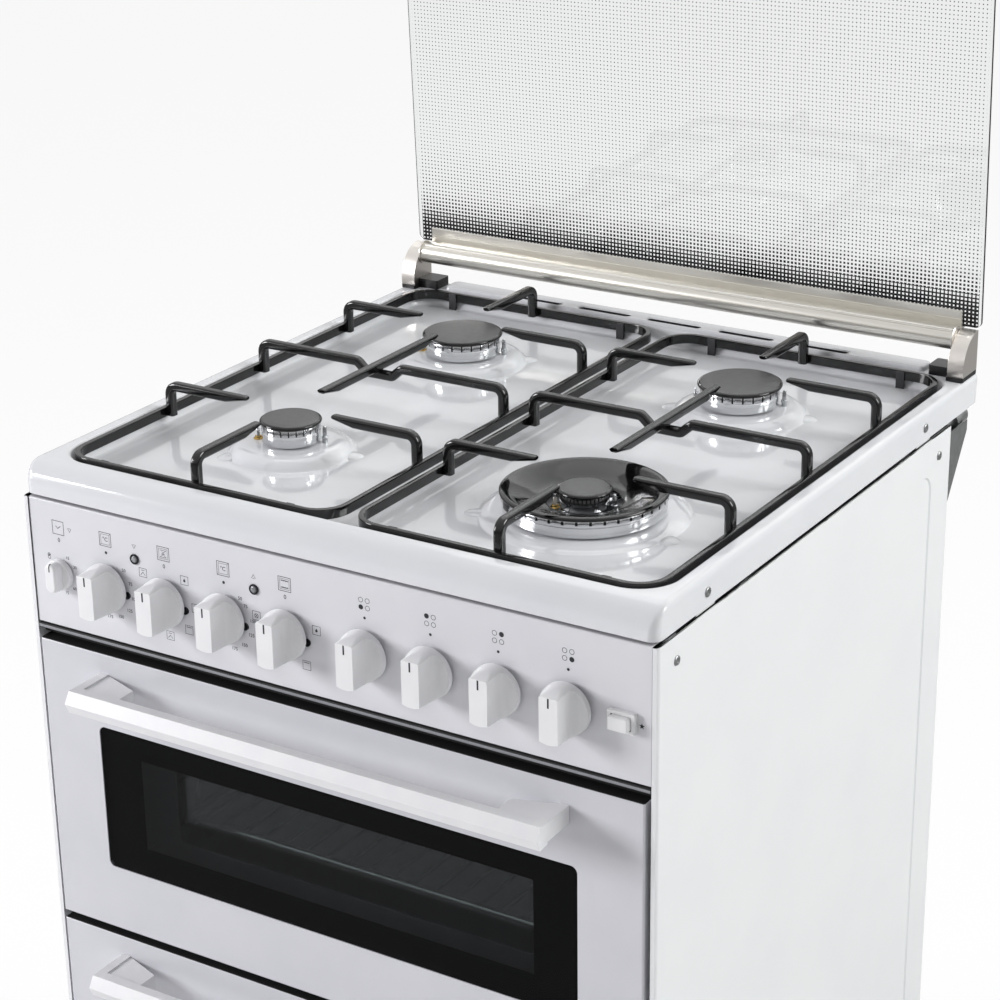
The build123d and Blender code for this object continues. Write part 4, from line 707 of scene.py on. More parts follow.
def makeHob():
    shell, outline = hobShell()
    floor = panFloor(outline)
    mounds = [mound(name, facts) for name, facts in burnerFacts.items()]
    hob = joinPieces("enamelledHob", [shell, floor] + mounds)
    outward(hob)
    solid = hob.modifiers.new("Sheet", "SOLIDIFY")
    solid.thickness = hobFacts["sheet"] * mm
    solid.offset = -1
    applyModifiers(hob)
    ears = [pressedEar(facts, *ear) for facts in burnerFacts.values() for ear in facts["ears"]]
    hob = joinPieces("enamelledHob", [hob, rearStrip()] + ears)
    smooth(hob, 38)
    addWeighted(hob)
    applyModifiers(hob)
    # the second material, black, is painted shade inside the slots
    paintWith(hob, whiteEnamel, blackAbs)
    darkenSlots(hob)
    return settle(hob, "root", slotOf["hob_top"], "hob_top")


makeHob()
print("hob pressed")


# Burners: turned heads with flame ports, caps, spark pins and thermocouples. Profiles are (radius, height).
# seatRise lifts the heads off their mounds, capRise is the height of a cap over its mound.
seatRise = 0.8
capRise = 16.7


def cutPorts(piece, facts, low, high, reach, every, depth=1.6):
    # pushes every few faces of the upper band inwards, which leaves the flame ports
    steps = facts["ports"] * every

    def isPort(face):
        middle = face.calc_center_median()
        out = hypot(middle.x - facts["x"], middle.y - facts["y"])
        turn = atan2(middle.y - facts["y"], middle.x - facts["x"]) % tau
        upright = low < middle.z < high and abs(face.normal.z) < 0.3
        return upright and out > reach * mm - 0.3 * mm and int(turn / tau * steps) % every == 0

    startEdit(piece)
    pickFaces(piece, isPort)
    bpy.ops.mesh.extrude_region_shrink_fatten(TRANSFORM_OT_shrink_fatten={"value": -depth * mm})
    endEdit()


def darkenPorts(piece, facts, low, high, outer):
    # painted shade: the deep faces of the ports are painted black
    for face in piece.data.polygons:
        middle = face.center
        out = hypot(middle.x - facts["x"], middle.y - facts["y"])
        if low < middle.z < high and out < (outer - 0.25) * mm and out > (outer - 3) * mm:
            face.material_index = 1


def headPiece(name, facts):
    # small and medium flame spreader: straight polished barrel with a row of slots under the cap
    r = facts["head"] + 0.7
    base = panZ + (facts["rise"] + seatRise) * mm
    profile = ((0, 0), (r - 4, 0), (r - 3.6, 0.3), (r - 1.4, 0.3), (r - 0.4, 0.7), (r, 1.4), (r, 9.4),
               (r - 0.35, 9.8), (r - 0.35, 10.3), (r, 10.7), (r, 15.6), (r - 0.2, 15.9), (0, 15.9))
    head = turnedFrom(name + "Head", profile, base, facts["x"], facts["y"], facts["ports"] * 6)
    cutPorts(head, facts, base + 10.8 * mm, base + 15.5 * mm, r, 6)
    paintWith(head, burnerAluminium, motorPaintAndPortShade)
    darkenPorts(head, facts, base + 10.75 * mm, base + 15.6 * mm, r)
    return head


def capPiece(name, facts, r, base):
    # stamped cap: broad satin top, glossy rolled rim and a small tuck under it
    profile = ((0, 0), (r - 2.6, 0), (r - 1.1, 0.25), (r - 0.3, 0.9), (r, 1.7), (r - 0.1, 2.4),
               (r - 0.5, 3.0), (r - 1.3, 3.5), (r - 2.4, 3.85), (r - 4, 4.1), (r * 0.6, 4.35),
               (r * 0.3, 4.47), (0, 4.5))
    cap = turnedFrom(name + "Cap", profile, base, facts["x"], facts["y"])
    paintWith(cap, capEnamel, capRimEnamel)
    for face in cap.data.polygons:
        out = hypot(face.center.x - facts["x"], face.center.y - facts["y"])
        face.material_index = 0 if out < (r - 2.6) * mm else 1
    return cap


# Wok burner: top of its ring, radii and top of its small middle head, then its spokes and the black block of
# painted shade in its notch, in metres
wokFacts = {"top": 15.5, "inner": 20, "innerPorts": 20.3, "innerCap": 22.5, "innerTop": 15,
            "spokeAngles": (65, 155, 245, 335), "spokeOut": 0.037, "spokeSize": (0.042, 0.008, 0.003),
            "notchAngle": 232, "notchSize": (0.0046, 0.010, 0.0068)}


def wokBlock(facts, out, angle, z, size, rounding, finish):
    # a small rounded block that points out from the middle of the wok burner
    a = radians(angle)
    piece = block((facts["x"] + out * cos(a), facts["y"] + out * sin(a), z), size, a)
    addBevel(piece, rounding * mm, 2)
    applyModifiers(piece)
    paintWith(piece, finish)
    return piece


def wokPieces(facts):
    # outer ring with a band of ports, a dished ring on it and a small burner in the middle
    base = panZ + (facts["rise"] + seatRise) * mm
    r, cap, top = facts["head"], facts["cap"], wokFacts["top"]
    profile = ((r - 16, 0), (r - 3, 0), (r - 1, 0.5), (r, 1.8), (r, 9.3), (r - 0.3, 9.6), (r - 0.3, 10.0),
               (r + 0.7, 10.5), (r + 1, 11.0), (r + 1, 12.0), (r + 1, 15.2), (r + 0.8, top), (r - 4, top),
               (r - 4, 3), (r - 16, 3), (r - 16, 0))
    ring = turnedFrom("wokRing", profile, base, facts["x"], facts["y"], facts["ports"] * 5)
    cutPorts(ring, facts, base + 12.1 * mm, base + 15.1 * mm, r + 1, 5)
    paintWith(ring, burnerAluminium, motorPaintAndPortShade)
    darkenPorts(ring, facts, base + 11.9 * mm, base + 15.25 * mm, r + 1)
    dish = ((31, 6.0), (33, 6.0), (r - 4.5, 14.7), (r - 4.5, top), (cap - 1.2, top), (cap - 0.3, top + 0.4),
            (cap, top + 1.1), (cap - 0.1, top + 1.8), (cap - 0.7, top + 2.5), (cap - 1.8, top + 3.0),
            (cap - 3.2, top + 3.2), (cap - 5.4, top + 2.9), (cap - 9, top + 1.8), (cap - 15, top - 0.6),
            (cap - 22, top - 3.2), (43, top - 5.0), (37, top - 6.4), (34, top - 6.8), (32, top - 7.3),
            (31, top - 8.2), (31, 6.0))
    dishPiece = turnedFrom("wokDish", dish, base, facts["x"], facts["y"], 128)
    paintWith(dishPiece, capRimEnamel)
    s, outer = wokFacts["inner"], wokFacts["innerPorts"]
    inner = ((0, 0), (19, 0), (19, 3), (s, 3.6), (s, 8.6), (19.3, 9.0), (19.3, 9.6), (outer, 10.2),
             (outer, 11.6), (outer, 14.6), (s, wokFacts["innerTop"]), (0, wokFacts["innerTop"]))
    head = turnedFrom("wokInnerHead", inner, base, facts["x"], facts["y"], facts["ports"] * 4)
    cutPorts(head, facts, base + 11.7 * mm, base + 14.5 * mm, outer, 4, 1.2)
    paintWith(head, burnerAluminium, motorPaintAndPortShade)
    darkenPorts(head, facts, base + 11.6 * mm, base + 14.55 * mm, outer)
    spokes = [wokBlock(facts, wokFacts["spokeOut"], angle, base + 1.5 * mm, wokFacts["spokeSize"], 0.8,
                       burnerAluminium) for angle in wokFacts["spokeAngles"]]
    # painted shade: a black block stands for the dark gap of the notch in the ring
    notchShade = wokBlock(facts, (r - 1) * mm, wokFacts["notchAngle"], base + 11.6 * mm, wokFacts["notchSize"],
                     0.5, blackAbs)
    innerCap = capPiece("wokInner", facts, wokFacts["innerCap"], base + wokFacts["innerTop"] * mm)
    return [ring, head] + spokes + [notchShade], [dishPiece, innerCap]


electrodeFacts = {"sparkAngle": 200, "sensorAngle": 20, "wokOut": 24, "besideHead": 5}


def electrodePlace(name, facts, angle):
    out = (electrodeFacts["wokOut"] if name == "wok" else facts["head"] + electrodeFacts["besideHead"]) * mm
    a = radians(angle)
    return facts["x"] + out * cos(a), facts["y"] + out * sin(a), panZ + facts["rise"] * mm


def sparkPin(name, facts):
    # brass foot, ceramic or steel sleeve and a pointed steel pin
    x, y, z = electrodePlace(name, facts, electrodeFacts["sparkAngle"])
    foot = turnedFrom(name + "SparkFoot", ((0, -2), (2.6, -2), (2.6, -0.1), (4.0, 0), (4.2, 0.5), (3.8, 1.0),
                                           (2.9, 1.4), (2.7, 2.6), (2.2, 3.0), (0, 3.0)), z, x, y, 32)
    sleeve = turnedFrom(name + "SparkSleeve", ((0, -20), (1.7, -20), (1.7, 8.2), (1.4, 8.8), (0, 8.8)),
                        z, x, y, 32)
    pin = turnedFrom(name + "SparkTip", ((0, 8), (0.95, 8), (0.95, 10.6), (0.7, 11.4), (0.15, 13), (0, 13)),
                     z, x, y, 20)
    paintWith(foot, brass)
    paintWith(sleeve, ceramic if name == "wok" else stainless)
    paintWith(pin, stainless)
    return [foot, sleeve, pin]


def thermocouple(name, facts):
    x, y, z = electrodePlace(name, facts, electrodeFacts["sensorAngle"])
    body = turnedFrom(name + "Sensor", ((0, -20), (2.3, -20), (2.3, 3.4), (2.8, 3.8), (2.8, 5.4), (1.9, 6),
                                        (1.7, 13.6), (1.2, 14.6), (0, 15)), z, x, y, 32)
    paintWith(body, stainless)
    return body


def makeBurners():
    heads, caps, sparks = [], [], []
    for name, facts in burnerFacts.items():
        if name == "wok":
            ringParts, dishParts = wokPieces(facts)
            heads += ringParts
            caps += dishParts
        else:
            heads.append(headPiece(name, facts))
            caps.append(capPiece(name, facts, facts["cap"], panZ + (facts["rise"] + capRise) * mm))
        sparks += sparkPin(name, facts) + [thermocouple(name, facts)]
    for piece in heads + caps + sparks:
        smooth(piece, 34)
    settle(joinPieces("burnerHeads", heads), "root", slotOf["burner_heads"], "burner_heads")
    settle(joinPieces("burnerCaps", caps), "root", slotOf["burner_caps"], "burner_caps")
    settle(joinPieces("burnerElectrodes", sparks), "root", slotOf["burner_electrodes"], "burner_electrodes")


makeBurners()
print("burners turned")


# Pan supports: flat strip rings with bent square bars welded to them, all in black enamel. Millimetres,
# apart from dipSlope in degrees.
supportFacts = {"innerX": 7, "outerX": 282, "frontMargin": 28, "rearMargin": 30, "cornerRadius": 28,
                "stripWidth": 5, "stripHeight": 8.6, "top": 1.6, "bar": 8.2, "barCorner": 2.4, "rise": 24,
                "bend": 8, "tipGap": 45, "longBarHalf": 89, "dip": 8.6, "dipHalf": 12.6, "dipRun": 10,
                "dipBend": 4.5, "dipSlope": 41, "tipReach": 8, "tipLift": 4.5, "taper": 22}
supportZ = hobZ + supportFacts["top"] * mm
supportFront = frontY + supportFacts["frontMargin"] * mm
supportRear = rearY - supportFacts["rearMargin"] * mm
barLevel = supportZ + (supportFacts["rise"] - supportFacts["bar"] / 2) * mm
barRoot = supportZ - (supportFacts["stripHeight"] - 1) * mm
barInset = (supportFacts["stripWidth"] + supportFacts["bar"] / 2 - 0.5) * mm


def ringPiece(x0, x1):
    facts = supportFacts
    loops = []
    t, h = facts["stripWidth"], facts["stripHeight"]
    section = ((0, -h), (0, -1.2), (0.35, -0.35), (1.2, 0), (t - 1.2, 0), (t - 0.35, -0.35), (t, -1.2),
               (t, -h))
    for inset, z in section:
        loops.append(roundedLoop(x0 + inset * mm, x1 - inset * mm, supportFront + inset * mm,
                                 supportRear - inset * mm, supportZ + z * mm,
                                 (facts["cornerRadius"] - inset) * mm, 10))
    return lofted("supportRing", loops, closePath=True)


def bentBar(name, start, upright, moves):
    # a rounded square is drawn out along its moves: ("run", vector) or ("turn", degrees, centre, axis)
    deselectAll()
    bpy.ops.mesh.primitive_plane_add(size=supportFacts["bar"] * mm, location=start)
    bar = bpy.context.active_object
    bar.name = name
    if not upright:
        bar.rotation_euler = (radians(90), 0, 0)
    freeze(bar)
    startEdit(bar)
    bpy.ops.mesh.bevel(affect="VERTICES", offset=supportFacts["barCorner"] * mm, segments=4)
    for kind, *how in moves:
        if kind == "run":
            bpy.ops.mesh.extrude_region_move(TRANSFORM_OT_translate={"value": how[0]})
        else:
            degrees, centre, axis = how
            steps = max(3, round(abs(degrees) / 12))
            bpy.ops.mesh.spin(steps=steps, angle=-radians(degrees), center=centre, axis=axis)
    endEdit()
    outward(bar)
    return bar


def liftTips(bar, tips):
    # the underside of each tip slopes up to its end
    drop = barLevel - 1 * mm
    for x, y in tips:
        for vertex in bar.data.vertices:
            if hypot(vertex.co.x - x, vertex.co.y - y) < supportFacts["tipReach"] * mm and vertex.co.z < drop:
                vertex.co.z += supportFacts["tipLift"] * mm


def straightFinger():
    # modelled once at the origin: up from the ring, round the bend and level along +X to its tip
    facts = supportFacts
    bend = facts["bend"] * mm
    length = (supportFacts["outerX"] - supportFacts["innerX"]) / 2 * mm - barInset - facts["tipGap"] * mm
    moves = [("run", (0, 0, barLevel - barRoot - bend)), ("turn", 90, (bend, 0, barLevel - bend), (0, 1, 0)),
             ("run", (length - bend - facts["taper"] * mm, 0, 0)),
             ("run", ((facts["taper"] - 1.5) * mm, 0, 0)), ("run", (1.5 * mm, 0, 0))]
    bar = bentBar("finger", (0, 0, barRoot), True, moves)
    liftTips(bar, [(length, 0)])
    for vertex in bar.data.vertices:
        if vertex.co.x > length - 0.1 * mm:
            vertex.co.y *= 0.8
            vertex.co.z += (barLevel + 1.5 * mm - vertex.co.z) * 0.2
    return bar


def placed(piece, x, y, degrees, name):
    copy = linked(name, piece.data.copy())
    copy.location = (x, y, 0)
    copy.rotation_euler = (0, 0, radians(degrees))
    freeze(copy)
    return copy


def crossBar(x0, x1, cx):
    # up from one side of the ring, across with a dip under the long bar, and down to the other side
    facts = supportFacts
    bend, dip, small = facts["bend"] * mm, facts["dip"] * mm, facts["dipBend"] * mm
    slope = radians(facts["dipSlope"])
    s, c = sin(slope), cos(slope)
    left, right, z = x0 + barInset, x1 - barInset, barLevel
    fall = dip - 2 * small * (1 - c)
    aside = fall * c / s
    rise = z - barRoot - bend
    x = cx - (facts["dipHalf"] + facts["dipRun"]) * mm - small * s
    low = x + 2 * small * s + aside
    mirrored = 2 * cx - low
    end = mirrored + 2 * small * s + aside
    moves = [("run", (0, 0, rise)), ("turn", 90, (left + bend, midY, z - bend), (0, 1, 0)),
             ("run", (x - left - bend, 0, 0)),
             ("turn", facts["dipSlope"], (x, midY, z - small), (0, 1, 0)), ("run", (aside, 0, -fall)),
             ("turn", -facts["dipSlope"], (low, midY, z - dip + small), (0, 1, 0)),
             ("run", (mirrored - low, 0, 0)),
             ("turn", -facts["dipSlope"], (mirrored, midY, z - dip + small), (0, 1, 0)),
             ("run", (aside, 0, fall)), ("turn", facts["dipSlope"], (end, midY, z - small), (0, 1, 0)),
             ("run", (right - bend - end, 0, 0)), ("turn", 90, (right - bend, midY, z - bend), (0, 1, 0)),
             ("run", (0, 0, -rise))]
    return bentBar("crossBar", (left, midY, barRoot), True, moves)


def longBar(cx):
    half, taper = supportFacts["longBarHalf"] * mm, supportFacts["taper"] * mm
    moves = [("run", (0, length, 0)) for length in (taper, 2 * half - 2 * taper, taper)]
    bar = bentBar("longBar", (cx, midY - half, barLevel), False, moves)
    liftTips(bar, [(cx, midY - half), (cx, midY + half)])
    return bar


def makeSupport(side, node, finger):
    facts = supportFacts
    x0, x1 = sorted((side * facts["innerX"] * mm, side * facts["outerX"] * mm))
    cx = (x0 + x1) / 2
    parts = [ringPiece(x0, x1), crossBar(x0, x1, cx), longBar(cx)]
    for y in (midY - burnerY, midY + burnerY):
        parts.append(placed(finger, x0 + barInset, y, 0, "leftFinger"))
        parts.append(placed(finger, x1 - barInset, y, 180, "rightFinger"))
    parts.append(placed(finger, cx, supportFront + barInset, 90, "frontFinger"))
    parts.append(placed(finger, cx, supportRear - barInset, -90, "rearFinger"))
    for part in parts:
        outward(part)
        smooth(part, 40)
        addWeighted(part)
        applyModifiers(part)
    support = joinPieces(node + "Bars", parts)
    paintWith(support, blackEnamel)
    return settle(support, "root", slotOf[node], node)


fingerBar = straightFinger()
makeSupport(-1, "left_pan_support", fingerBar)
makeSupport(1, "right_pan_support", fingerBar)
bpy.data.objects.remove(fingerBar)
print("pan supports bent")


# Glass: tempered panes that let light through, with black enamel print fused to their back
def glassShader(tree, tint, ior):
    # shadow rays pass straight through, so that the pane doesn't darken what stands behind it
    rays = addNode(tree, "ShaderNodeLightPath")
    pane = addNode(tree, "ShaderNodeBsdfPrincipled", {"Base Color": toLinear(tint), "Roughness": 0.0,
                                                      "IOR": ior, "Transmission Weight": 1.0})
    through = addNode(tree, "ShaderNodeBsdfTransparent", {"Color": toLinear(tint)})
    return mixShader(tree, rays.outputs["Is Shadow Ray"], pane.outputs[0], through.outputs[0])


def clearGlass(name, tint, ior=1.5):
    # tempered float glass: mirror-sharp gloss over a faint tint
    material, tree = newMaterial(name)
    finishMaterial(tree, glassShader(tree, tint, ior))
    return material


def objectAxes(tree):
    place = addNode(tree, "ShaderNodeTexCoord")
    return addNode(tree, "ShaderNodeSeparateXYZ", links={0: place.outputs["Object"]})


def fixedMath(tree, operation, first, second=None):
    # either side may be a socket or a number
    settings, links = {"operation": operation}, {}
    for index, value in enumerate((first, second)):
        if isinstance(value, (int, float)):
            settings[index] = value
        elif value is not None:
            links[index] = value
    return addNode(tree, "ShaderNodeMath", settings, links).outputs[0]


def printedGlass(name, tint, ink, mask, ior=1.5):
    # mask returns 1 where the enamel print is
    material, tree = newMaterial(name)
    glass = glassShader(tree, tint, ior)
    enamel = addNode(tree, "ShaderNodeBsdfPrincipled", {"Base Color": toLinear(ink), "Roughness": 0.5,
                                                        "Specular IOR Level": 0.04})
    finishMaterial(tree, mixShader(tree, mask(tree), glass, enamel.outputs[0]))
    return material


# Millimetres and degrees, apart from flangeZ, axisY, axisZ and halfGlass, which are metres. The print is a
# net up to netEnd, loose squares above it and ever smaller ones from fadeStart to fadeEnd.
lidFacts = {"pitch": 3.75, "sideBorder": 3.6, "flangeZ": 0.9545, "lean": 2.5, "axisY": rearY - 17 * mm,
            "axisZ": hobZ + 33.5 * mm, "halfGlass": 0.2995, "halfRail": 282, "tube": 10, "netStart": 2,
            "netEnd": 17, "fadeStart": 40, "fadeEnd": 90, "grooves": (118, 128, 166), "grooveDepth": 0.55,
            "endDisc": 11.6}


def halftoneMask(tree):
    # a dense net with small clear squares by the rail opens into ever smaller loose squares
    axes = objectAxes(tree)
    pitch = lidFacts["pitch"] * mm
    offsets = []
    for axis in ("X", "Z"):
        steps = fixedMath(tree, "DIVIDE", axes.outputs[axis], pitch)
        part = fixedMath(tree, "FRACT", steps)
        offsets.append(fixedMath(tree, "ABSOLUTE", fixedMath(tree, "SUBTRACT", part, 0.5)))
    toMiddle = fixedMath(tree, "MAXIMUM", *offsets)
    toCorner = fixedMath(tree, "SUBTRACT", 0.5, fixedMath(tree, "MINIMUM", *offsets))
    facts = lidFacts
    above = fixedMath(tree, "SUBTRACT", axes.outputs["Z"], facts["flangeZ"])
    height = fixedMath(tree, "DIVIDE", above, mm)
    holes = ranged(tree, height, facts["netStart"], facts["netEnd"], 0.2, 0.35)
    squares = ranged(tree, height, facts["netEnd"], facts["fadeStart"], 0.33, 0.19)
    fading = ranged(tree, height, facts["fadeStart"], facts["fadeEnd"], 0.0, 0.06)
    net = fixedMath(tree, "GREATER_THAN", toMiddle, holes)
    loose = fixedMath(tree, "LESS_THAN", toCorner, fixedMath(tree, "SUBTRACT", squares, fading))
    upper = fixedMath(tree, "GREATER_THAN", height, facts["netEnd"])
    lower = fixedMath(tree, "SUBTRACT", 1.0, upper)
    pattern = fixedMath(tree, "ADD", fixedMath(tree, "MULTIPLY", net, lower),
                        fixedMath(tree, "MULTIPLY", loose, upper))
    inside = fixedMath(tree, "LESS_THAN", fixedMath(tree, "ABSOLUTE", axes.outputs["X"]),
                       facts["halfGlass"] - facts["sideBorder"] * mm)
    below = fixedMath(tree, "LESS_THAN", axes.outputs["Z"],
                      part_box("lid_glass")[1].z - facts["sideBorder"] * mm)
    return fixedMath(tree, "MULTIPLY", pattern, fixedMath(tree, "MULTIPLY", inside, below))


def faceTowards(piece, direction, index):
    # gives the faces that look one way another material
    for face in piece.data.polygons:
        if face.normal.dot(Vector(direction)) > 0.9:
            face.material_index = index


def makeLidGlass():
    pane = skinOf("lid_glass", clearGlass("clearLidGlass", "#F5F6F6"), 0.9, "lidPane")
    pane.data.materials.append(printedGlass("halftoneLidGlass", "#F5F6F6", "#0C0C0D", halftoneMask))
    faceTowards(pane, (0, 1, 0), 1)
    return settle(pane, "lid", slotOf["lid_glass"], "lid_glass")


def makeLidRail():
    # drawn section: grooved tube on the hinge axis and a channel that grips the pane
    facts = lidFacts
    half = facts["halfRail"] * mm
    outline = []
    start, sweep, steps = 23.6, 345.3, 132
    for i in range(steps + 1):
        angle = start - sweep * i / steps
        grooved = any(abs(angle % 360 - groove) < 1.4 for groove in facts["grooves"])
        r = facts["tube"] - (facts["grooveDepth"] if grooved else 0)
        outline.append((r * cos(radians(angle)), r * sin(radians(angle))))
    outline += [(13.05, 6.2), (13.05, 12.6), (12.75, 12.9), (12.75, 13.6), (13.05, 13.9), (13.05, 20.9),
                (13.45, 21.5), (14.85, 21.5), (15.25, 20.9), (15.25, 6.2), (19.75, 6.2), (19.75, 18.5),
                (21.35, 18.5), (21.35, 4)]
    count = len(outline)
    lean = radians(facts["lean"])
    points = []
    for x in (-half, half):
        for y, z in outline:
            points.append(Vector((x, facts["axisY"] + (y * cos(lean) - z * sin(lean)) * mm,
                                  facts["axisZ"] + (y * sin(lean) + z * cos(lean)) * mm)))
    faces = [(i, (i + 1) % count, count + (i + 1) % count, count + i) for i in range(count)]
    faces += [tuple(range(count)), tuple(reversed(range(count, 2 * count)))]
    rail = newPiece("lidRailSection", points, faces)
    outward(rail)
    smooth(rail, 22)
    paintWith(rail, railAluminium)
    discs = []
    r, x0, x1 = facts["endDisc"], half - 0.2 * mm, half + 1.2 * mm
    for side in (-1, 1):
        disc = turned("railEndDisc", [(0, x0), (r, x0), (r, x0 + 0.9 * mm), (r - 0.5, x1), (0, x1)], 0, 0, 48)
        disc.rotation_euler = (0, radians(90 * side), 0)
        disc.location = (0, facts["axisY"], facts["axisZ"])
        freeze(disc)
        outward(disc)
        smooth(disc, 34)
        paintWith(disc, towerMetal)
        discs.append(disc)
    rail = joinPieces("lidRailSection", [rail] + discs)
    return settle(rail, "lid", slotOf["lid_rail"], "lid_rail")


makeLidGlass()
makeLidRail()


# Doors: window panes with a black printed border round a clear middle, in millimetres
doorFacts = {"sideBorder": 41, "topBorder": 24, "lowBorder": 26}


def windowMask(low, high):
    facts = doorFacts

    def mask(tree):
        axes = objectAxes(tree)
        beside = fixedMath(tree, "GREATER_THAN", fixedMath(tree, "ABSOLUTE", axes.outputs["X"]),
                           high.x - facts["sideBorder"] * mm)
        above = fixedMath(tree, "GREATER_THAN", axes.outputs["Z"], high.z - facts["topBorder"] * mm)
        under = fixedMath(tree, "LESS_THAN", axes.outputs["Z"], low.z + facts["lowBorder"] * mm)
        return fixedMath(tree, "MAXIMUM", beside, fixedMath(tree, "MAXIMUM", above, under))

    return mask


def makeDoorGlass(body):
    low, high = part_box(body + "_window")
    pane = skinOf(body + "_window", clearGlass(body + "Pane", "#B9BCBE", 1.22), 0.4, body + "Pane")
    pane.data.materials.append(printedGlass(body + "PrintedPane", "#B9BCBE", "#050506", windowMask(low, high),
                                            1.22))
    faceTowards(pane, (0, 1, 0), 1)
    settle(pane, body, slotOf[body + "_window"], body + "_window")
    inner = skinOf(body + "_inner_glass", clearGlass(body + "InnerPane", "#DDE3E1"), 0.4, body + "InnerPane")
    settle(inner, body, slotOf[body + "_inner_glass"], body + "_inner_glass")


for body in ("upper_door", "lower_door"):
    makeDoorGlass(body)
print("glass and rail ready")


# Trim, lamps and screws. Lamps are placed in metres across and millimetres under the hob's rim
lampXs = (-0.18525, -0.06345)
lampDrop = 36.7
screwFacts = {"sideCross": 4.2, "frontCross": 3.4, "crossWidth": 0.24, "crossDepth": 1.6, "turn": 20}


def makeTrim():
    # black trim moulding, dark and matt as painted shade of the gap, with a painted highlight along its bead
    trim = skinOf("panel_trim", blackTrimAndPaintedShade, 0.3, "panelTrimBead")
    trim.data.materials.append(beadPaintedHighlight)
    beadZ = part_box("panel_trim")[1].z - 2.5 * mm
    # painted highlight: the front faces along the bead are painted mid grey
    for face in trim.data.polygons:
        if face.normal.y < -0.5 and abs(face.center.z - beadZ) < 1.1 * mm:
            face.material_index = 1
    settle(trim, "root", slotOf["panel_trim"], "panel_trim")


def turnedFront(name, profile, x, z, steps=48):
    # outline of (radius, distance out from the panel), both in millimetres
    piece = turned(name, [(r, out * mm) for r, out in profile], 0, 0, steps)
    piece.rotation_euler = (radians(90), 0, 0)
    piece.location = (x, frontY, z)
    freeze(piece)
    outward(piece)
    return piece


def makeLamps():
    lamps = []
    z = rimZ - lampDrop * mm
    for x in lampXs:
        bezel = turnedFront("lampBezel", ((3.1, -3), (3.1, 1.0), (3.4, 1.3), (4.2, 1.3), (4.5, 0.9), (4.5, 0),
                                          (3.5, 0), (3.5, -16), (3.1, -16), (3.1, -3)), x, z)
        paintWith(bezel, darkSteel)
        lens = turnedFront("lampLens", ((0, -2), (3.1, -2), (3.1, 0.6), (2.8, 1.2), (2.1, 1.6), (1.1, 1.8),
                                        (0, 1.85)), x, z)
        paintWith(lens, lampLens)
        lamps += [bezel, lens]
    for lamp in lamps:
        smooth(lamp, 40)
    settle(joinPieces("pilotLamps", lamps), "root", slotOf["indicator_lamps"], "indicator_lamps")


def crossCutter(place, axis, size):
    # two crossed bars that cut the recess of a screw head
    facts = screwFacts
    shape = (size, size * facts["crossWidth"], facts["crossDepth"] * mm)
    bars = [block((0, 0, 0), shape, radians(turn + facts["turn"])) for turn in (0, 90)]
    cutter = joinPieces("crossCutter", bars)
    cutter.rotation_euler = (0, radians(90), 0) if axis == "x" else (radians(90), 0, 0)
    cutter.location = place
    freeze(cutter)
    return cutter


def makeScrews():
    startEdit(skinOf("screws", darkSteel, 0, "crossHeadScrews"))
    bpy.ops.mesh.separate(type="LOOSE")
    endEdit()
    made = []
    for piece in list(bpy.context.selected_objects):
        # the screws of the side sheets move out with them
        xs, ys, zs = ([vertex.co[i] for vertex in piece.data.vertices] for i in range(3))
        middle = Vector(((min(xs) + max(xs)) / 2, (min(ys) + max(ys)) / 2, (min(zs) + max(zs)) / 2))
        sideways = max(xs) - min(xs) > max(ys) - min(ys)
        if sideways:
            out = (1 if middle.x > 0 else -1) * (sideFacts["out"] * mm if middle.z < rimZ else 0)
            for vertex in piece.data.vertices:
                vertex.co.x += out
            outer = (max(xs) if middle.x > 0 else min(xs)) + out
            cutter = crossCutter((outer, middle.y, middle.z), "x", screwFacts["sideCross"] * mm)
        else:
            cutter = crossCutter((middle.x, min(ys), middle.z), "y", screwFacts["frontCross"] * mm)
        piece.data.materials[0] = galvanised if sideways else darkSteel
        cutAway(piece, cutter, True)
        smooth(piece, 33)
        made.append(piece)
    settle(joinPieces("crossHeadScrews", made), "root", slotOf["screws"], "screws")


makeTrim()
makeLamps()
makeScrews()
print("trim, lamps and screws ready")


# Printed marks on the panel: frames, dots, numbers and plain symbols. Millimetres across from the middle
# and down from the hob's rim, and angles clockwise from the top of a knob.
panelFacts = {"ovenKnobs": (-215.7, -154.8, -93.9, -33.0), "gasKnobs": (43.1, 104.0, 164.9, 225.8),
              "timer": -266.4, "timerZ": -67.0, "line": 0.5, "frame": 12, "smallFrame": 7.6, "frameZ": -25.7,
              "dotZ": -37.5, "zeroZ": -36.8, "inkGap": 0.06, "star": (288, -68.6), "palm": (-278.6, -54.6),
              "temperatures": (50, 75, 100, 125, 150, 175), "minutes": (15, 30, 45, 60, 75, 90)}
dialAngles = ((45, 74, 103, 130, 156, 181), (39, 57, 86, 113, 140, 164))
selectorMarks = (((-48, "peak"), (42, "flame"), (90, "plain"), (133, "grill"), (176, "peak")),
                 ((-75, "fan"), (74, "flame"), (143, "grill"), (-150, "peak")))
inkY = frontY - panelFacts["inkGap"] * mm
inkPoints, inkFaces = [], []


def inkShape(corners):
    start = len(inkPoints)
    for x, z in corners:
        inkPoints.append(Vector((x * mm, inkY, rimZ + z * mm)))
    inkFaces.append(tuple(range(start, start + len(corners))))


def inkLine(a, b, width=None):
    half = (width or panelFacts["line"]) / 2
    along = Vector((b[0] - a[0], b[1] - a[1])).normalized() * half
    side = Vector((-along.y, along.x))
    a, b = Vector(a) - along, Vector(b) + along
    inkShape([tuple(a - side), tuple(b - side), tuple(b + side), tuple(a + side)])


def inkPath(points, width=None):
    for a, b in zip(points, points[1:]):
        inkLine(a, b, width)


